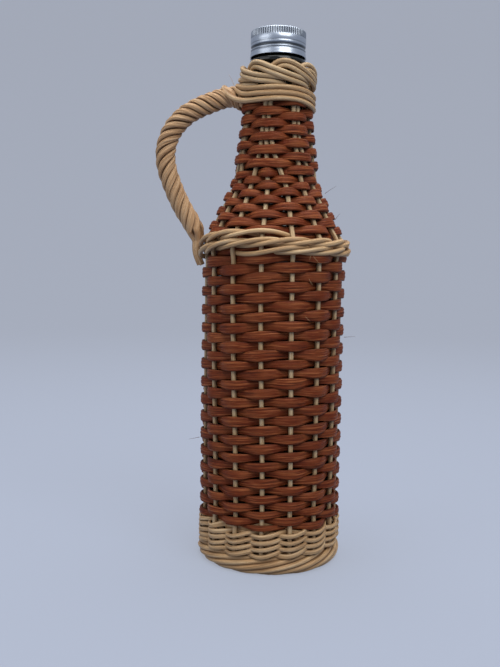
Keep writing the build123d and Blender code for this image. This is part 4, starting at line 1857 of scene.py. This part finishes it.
@dataclass(frozen=True)
class Fibre:
    """Loose fibre split off a cane: where it starts, its way out, up and round, and its length."""

    angle: float
    height: float
    offset: float
    outward: float
    upward: float
    aside: float
    length: float


FIBRES = {
    Cane.BROWN: (
        Fibre(301, 140.4, 6.0, 0.3, 0.5, 0.9, 3.6),
        Fibre(352, 118.6, 6.0, 0.9, 0.1, 0.1, 5.0),
        Fibre(345, 190.4, 6.4, 0.8, 0.7, 0.2, 6.0),
        Fibre(340, 177.0, 6.2, 0.5, 0.9, 0.1, 3.6),
        Fibre(184, 62.5, 6.0, 0.9, -0.2, 0.1, 5.0),
        Fibre(272, 108.4, 6.0, 0.3, 0.4, 0.9, 2.6),
        Fibre(256, 84.0, 6.0, 0.3, -0.3, -0.9, 2.8),
        Fibre(20, 140.0, 6.0, 0.8, 0.4, 0.3, 4.0),
        Fibre(95, 98.0, 6.0, 0.7, -0.5, 0.4, 3.6),
        Fibre(130, 186.0, 6.2, 0.8, 0.6, 0.2, 4.4),
    ),
    Cane.PALE: (
        Fibre(300, 160.6, 6.2, 0.35, -0.75, 0.5, 4.2),
        Fibre(298, 161.0, 6.0, 0.3, -0.6, -0.4, 3.0),
        Fibre(297, 149.6, 6.0, 0.2, -0.7, 0.3, 3.4),
        Fibre(295, 131.0, 6.0, 0.25, -0.6, 0.5, 3.0),
        Fibre(322, 183.6, 6.0, 0.4, 0.3, 0.9, 3.2),
        Fibre(236, 15.0, 7.6, 0.25, 0.9, 0.7, 10.0),
        Fibre(186, 247.0, 9.0, 0.2, 1.0, -0.5, 9.0),
    ),
}


@dataclass
class LooseFibres(Canework):
    """Thin fibres that stand off the cane here and there."""

    wall: GlassWall
    radius: float = 0.12
    tip_share: float = 0.25
    bend: float = 0.18
    stations: int = 9
    crest: float = 1.0
    tone: float = 0.7

    def lay(self, fibre: Fibre) -> Lay:
        """One fibre, drawn to a fine tip.

        Args:
            fibre: Where the fibre stands and which way it goes.

        Returns:
            The fibre as a thin length of cane.
        """
        out = polar(1, fibre.angle, 0)
        side = np.array([-out[1], out[0], 0.0])
        way = out * fibre.outward + np.array([0.0, 0.0, fibre.upward]) + side * fibre.aside
        way /= np.linalg.norm(way)
        shares = np.linspace(0, 1, self.stations)
        start = self.wall.point(fibre.angle, fibre.height, fibre.offset)
        centres = start + fibre.length * (np.outer(shares, way) + np.outer(shares**2, out * self.bend))
        half = self.radius * (1 - (1 - self.tip_share) * shares)
        return Lay(centres, np.cross(way, side), half, half, self.crest, self.tone)

    def parts(self) -> Iterator[Part]:
        """The fibres in one piece for each colour.

        Returns:
            The pieces in order.
        """
        for cane, fibres in FIBRES.items():
            name = f"loose_{cane.name.lower()}_fibres"
            yield Part(name, cane, Section.ROUND, [self.lay(fibre) for fibre in fibres])


@dataclass
class GlassBottle:
    """Dark glass bottle with a bead and a threaded finish."""

    sizes: GlassSizes
    wall: GlassWall
    steps: int = 160

    def outline(self) -> Outline:
        """Outline from the punt up the outside, over the mouth and down the inside.

        Returns:
            Radius and height of each point.
        """
        sizes = self.sizes
        heel, lip, inside = sizes.heel_round, sizes.lip_round, sizes.body_radius - sizes.wall
        bottom, under, over = sizes.bottom, sizes.bead_underside, sizes.bead_top
        floor, mouth, half = bottom + sizes.floor, sizes.mouth_height - lip, (over - under) / 2
        punt = [(share, 1 - share**2) for share in (0.0, 0.25, 0.5, 0.75, 0.9, 1.0)]
        points = [(out * sizes.punt_radius, bottom + sizes.punt_rise * up) for out, up in punt]
        points += arc((sizes.body_radius - heel, bottom + heel), heel, -90, 0, 8)
        points += [(self.wall.at(height)[0], height) for height in np.arange(20, under - 1, 3.0)]
        points.append((sizes.neck_radius, under - 0.4))
        points += arc((sizes.bead_radius - half * 0.8, under + half), half, -70, 70, 11)
        points.append((sizes.finish_radius + 0.2, over + 0.2))
        finish = np.arange(over + 0.8, sizes.mouth_height - 0.9, 0.3)
        points += [(sizes.finish_radius, height) for height in finish]
        points += arc((sizes.finish_radius - lip, mouth), lip, 0, 90, 6)
        points += arc((sizes.bore_radius + lip, mouth), lip, 90, 180, 6)
        points += [
            (sizes.bore_radius, sizes.neck_height),
            (sizes.waist_radius - sizes.wall, sizes.waist_height - sizes.wall / 2),
            (inside, sizes.shoulder_height - sizes.wall / 2),
            (inside, floor + heel),
            (inside - heel, floor),
            (0.0, floor),
        ]
        return points

    def threaded(self, radius: np.ndarray, height: np.ndarray, angle: np.ndarray) -> np.ndarray:
        """Raise a round-topped thread on the finish.

        Args:
            radius: Radius of each point.
            height: Height of each point.
            angle: Angle of each point, in radians.

        Returns:
            The changed radius.
        """
        sizes = self.sizes
        around = angle / (2 * math.pi)
        wound = (height - sizes.thread_bottom) / sizes.thread_pitch - around
        progress = np.round(wound) + around
        away = (wound - np.round(wound)) * sizes.thread_pitch / sizes.thread_half_width
        fade = np.clip((progress - sizes.thread_start) * sizes.thread_fade, 0, 1)
        fade *= np.clip((sizes.thread_turns - progress) * sizes.thread_fade, 0, 1)
        on_finish = (radius > sizes.finish_radius - 0.05) & (height > sizes.bead_top + 0.5)
        return radius + np.where(on_finish, np.exp(-(away**2)) * sizes.thread_depth * fade, 0.0)

    def build(self, finishes: Finishes) -> list[Piece]:
        """Make the bottle.

        Args:
            finishes: Finishes of the bottle.

        Returns:
            The pieces.
        """
        piece = turned("dark_glass_bottle", self.outline(), finishes.glass, self.steps, self.threaded)
        return [seated(piece, "bottle", "glass_bottle")]


# Skirt of the cap: distance below the top, and how far it stands out past the radius
CAP_PROFILE = (
    (1.1, 0.0), (2.0, 0.0), (3.2, 0.0), (3.7, -0.12), (4.0, 0.02), (5.0, 0.06), (6.0, 0.04),
    (6.5, -0.18), (6.9, -0.1), (7.3, 0.04), (7.7, -0.12), (8.2, -0.42), (8.7, -0.5), (9.1, -0.36),
    (9.5, -0.06), (9.8, -0.1), (10.2, -0.28), (10.6, -0.16), (11.0, 0.02), (11.8, 0.05),
    (12.5, 0.14), (13.0, 0.26), (13.3, 0.3),
)


@dataclass
class ScrewCap:
    """Rolled aluminium cap with a knurled band, two rolled grooves and a flared lip."""

    bottom: float = 262.3
    top: float = 275.7
    radius: float = 14.3
    edge: float = 0.75
    skin: float = 0.4
    knurls: int = 72
    knurl_depth: float = 0.32
    knurl_top: float = 0.05
    knurl_bottom: float = 3.75
    knurl_fade: float = 0.5
    knurl_power: float = 0.7
    knurl_steps: int = 8
    groove_depth: float = 0.36

    def outline(self) -> Outline:
        """Outline from the top down the outside, round the lip and up the inside.

        Returns:
            Radius and height of each point.
        """
        top, bottom, radius, edge = self.top, self.bottom, self.radius, self.edge
        ceiling = top - self.skin - 0.1
        points = [(0.0, top - 0.12), (5.5, top - 0.1), (10.6, top - 0.08), (11.4, top - 0.02), (12.4, top)]
        points += arc((radius - edge, top - edge), edge, 82, 0, 8)
        points += [(radius + out, top - down) for down, out in CAP_PROFILE]
        points += [(radius + 0.2, bottom), (radius - 0.15, bottom + 0.1), (radius - 0.4, bottom + 1.2)]
        points += [(radius - 0.75, bottom + 4.5), (radius - 0.6, top - 4.0), (radius - 0.6, top - 1.0)]
        return points + [(radius - 1.0, ceiling), (0.0, ceiling)]

    def knurled(self, radius: np.ndarray, height: np.ndarray, angle: np.ndarray) -> np.ndarray:
        """Press the fine grips into the upper band.

        Args:
            radius: Radius of each point.
            height: Height of each point.
            angle: Angle of each point, in radians.

        Returns:
            The changed radius.
        """
        down = self.top - height
        zone = np.clip((down - self.knurl_top) / self.knurl_fade, 0, 1)
        zone *= np.clip((self.knurl_bottom - down) / self.knurl_fade, 0, 1)
        wave = (0.5 - 0.5 * np.cos(angle * self.knurls)) ** self.knurl_power
        return radius - np.where(radius > self.radius - 0.5, zone * wave * self.knurl_depth, 0.0)

    def depth(self, radius: np.ndarray, height: np.ndarray) -> np.ndarray:
        """How deep a point of the outside lies in a knurl or a rolled groove, which sets the painted shade
        there.
        """
        outside = (radius > self.radius - 0.58) & (height < self.top - 0.35) & (height > self.bottom + 0.4)
        return np.where(outside, np.clip((self.radius - radius) / self.groove_depth, 0, 1), 0.0)

    def build(self, finishes: Finishes, liner: Piece) -> list[Piece]:
        """Make the cap and dress its liner.

        Args:
            finishes: Finishes of the bottle.
            liner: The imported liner, which keeps its shape.

        Returns:
            The pieces.
        """
        steps = self.knurls * self.knurl_steps
        cap = turned("rolled_screw_cap", self.outline(), finishes.cap, steps, self.knurled, self.depth)
        flip_outward(cap)
        liner.data.materials.clear()
        liner.data.materials.append(finishes.liner)
        return [seated(cap, "cap", "screw_cap"), liner]


def flip_outward(piece: Piece) -> None:
    """Turn every face of a closed piece to look outward.

    Args:
        piece: The piece.
    """
    bpy.context.view_layer.objects.active = piece
    piece.select_set(True)
    bpy.ops.object.mode_set(mode="EDIT")
    bpy.ops.mesh.select_all(action="SELECT")
    bpy.ops.mesh.normals_make_consistent(inside=False)
    bpy.ops.object.mode_set(mode="OBJECT")
    piece.select_set(False)


@dataclass(frozen=True)
class Lamp:
    """Soft square lamp: its place, power in watts, and the height it looks at, in metres."""

    name: str
    place: tuple[float, float, float]
    power: float
    aim: float
    size: float = 0.8

    def build(self) -> None:
        """Hang the lamp and turn it to the object."""
        data = bpy.data.lights.new(self.name, "AREA")
        data.shape, data.size, data.energy = "SQUARE", self.size, self.power
        lamp = placed(self.name, data)
        lamp.location = self.place
        lamp.rotation_euler = (Vector((0, 0, self.aim)) - lamp.location).to_track_quat("-Z", "Y").to_euler()


LAMPS = (
    Lamp("key_lamp", (0.45, -0.75, 0.95), 7.5, 0.14),
    Lamp("fill_lamp", (-0.85, -0.55, 0.5), 2.5, 0.14),
    Lamp("top_lamp", (0.0, 0.1, 1.1), 7.5, 0.1),
)


@dataclass
class Studio:
    """Pale floor, soft lamps and the camera at the photograph's viewing angle."""

    focal_pixels: float = 790.0
    frame_height_pixels: float = 667.0
    sensor: float = 36.0
    distance: float = 422.0
    height: float = 158.2
    pitch: float = 5.3
    yaw: float = 1.62
    roll: float = 1.06
    clip_start: float = 0.01
    clip_end: float = 20.0
    floor_shares: tuple[float, ...] = (0.05, 0.2, 0.5, 0.8, 1.0)
    floor_radius: float = 1300.0
    wall_round: float = 900.0
    wall_height: float = 2200.0
    bowl_sides: int = 96
    shown: Display = (213, 219, 233)
    cloth: Display = (126, 138, 162)
    share_shown: float = 0.5
    sky: float = 0.6
    sky_colour: Colour = (0.95, 0.97, 1.0, 1.0)

    def floor(self) -> None:
        """Pale floor that rises into a round wall and keeps the shadow."""
        sides = self.bowl_sides
        rings = [(share * self.floor_radius, 0.0) for share in self.floor_shares]
        rings += arc((self.floor_radius, self.wall_round), self.wall_round, -84, -6, 14)
        rings.append((self.floor_radius + self.wall_round, self.wall_height))
        verts = [np.zeros(3)]
        for radius, height in rings:
            verts += [polar(radius, side * 360 / sides, height) for side in range(sides)]
        faces: list[Sequence[int]] = [(0, 1 + side, 1 + (side + 1) % sides) for side in range(sides)]
        for low in range(1, (len(rings) - 1) * sides, sides):
            for side in range(sides):
                here, after = low + side, low + (side + 1) % sides
                faces.append((here, here + sides, after + sides, after))
        shader = Shader("studio_floor")
        values = {"Base Color": linear(self.cloth), "Roughness": 0.9, "Specular IOR Level": 0.1}
        for key, value in values.items():
            shader.surface.inputs[key].default_value = value
        glow = shader.add("Emission", {"Color": linear(self.shown)})
        shader.mixed(shader.seen(self.share_shown), shader.surface, glow, "Material")
        floor = make_mesh("studio_floor", np.array(verts), faces, shader.material, {})
        floor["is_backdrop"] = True

    def world(self) -> None:
        """Pale surround: soft light on the object, the backdrop's colour where it is seen."""
        world = bpy.data.worlds.new("studio_world")
        world.use_nodes = True
        nodes = Nodes(world.node_tree)
        light = nodes.add("Background", {"Color": self.sky_colour, "Strength": self.sky})
        shown = nodes.add("Background", {"Color": linear(self.shown), "Strength": 1.0})
        nodes.mixed(nodes.seen(1.0), light, shown, "World")
        bpy.context.scene.world = world

    def camera(self) -> None:
        """Camera at the photograph's place, tilt and focal length."""
        data = bpy.data.cameras.new("photo_camera")
        data.lens = self.focal_pixels / self.frame_height_pixels * self.sensor
        data.sensor_width = self.sensor
        data.clip_start, data.clip_end = self.clip_start, self.clip_end
        camera = placed("photo_camera", data)
        camera.matrix_world = (
            Matrix.Translation((0, -self.distance * MILLIMETRE, self.height * MILLIMETRE))
            @ Matrix.Rotation(math.radians(self.yaw), 4, "Z")
            @ Matrix.Rotation(math.radians(90 - self.pitch), 4, "X")
            @ Matrix.Rotation(math.radians(self.roll), 4, "Z")
        )
        bpy.context.scene.camera = camera

    def build(self) -> None:
        """Make the floor, the surround, the lamps and the camera."""
        self.floor()
        self.world()
        for lamp in LAMPS:
            lamp.build()
        self.camera()
        bpy.context.scene.view_settings.view_transform = "Standard"


def report_size(cad: tuple[Vector, Vector], visual: tuple[Vector, Vector]) -> None:
    """Args:
        cad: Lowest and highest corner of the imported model.
        visual: Lowest and highest corner of the dressed model.
    """
    boxes = {"cad": [list(corner) for corner in cad], "visual": [list(corner) for corner in visual]}
    log.info("packed box %s, dressed box %s", boxes["cad"], boxes["visual"])


def main() -> None:
    """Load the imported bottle, dress it and set up the studio."""
    logging.basicConfig(level=logging.INFO, format="%(name)s: %(message)s")
    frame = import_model()
    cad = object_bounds()
    finishes = Finishes()
    glass = GlassSizes()
    wall = GlassWall(glass)
    stakes = Stakes(wall, CoverSizes())
    weave = Weave(wall, stakes)
    pieces = GlassBottle(glass, wall).build(finishes)
    pieces += ScrewCap().build(finishes, frame["nodes"]["cap_liner"])
    woven = BodyWeave(weave), FootWeave(weave), ShoulderWeave(weave), Wale(weave), Collar(weave)
    for work in (stakes, *woven, FootBorder(stakes), Base(), Handle(), LooseFibres(wall)):
        pieces += work.build(finishes)
    Studio().build()
    for piece in pieces:
        log.info("dressed %s with %s", piece.name, piece.data.materials[0].name)
    report_size(cad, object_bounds())


if __name__ == "__main__":
    main()
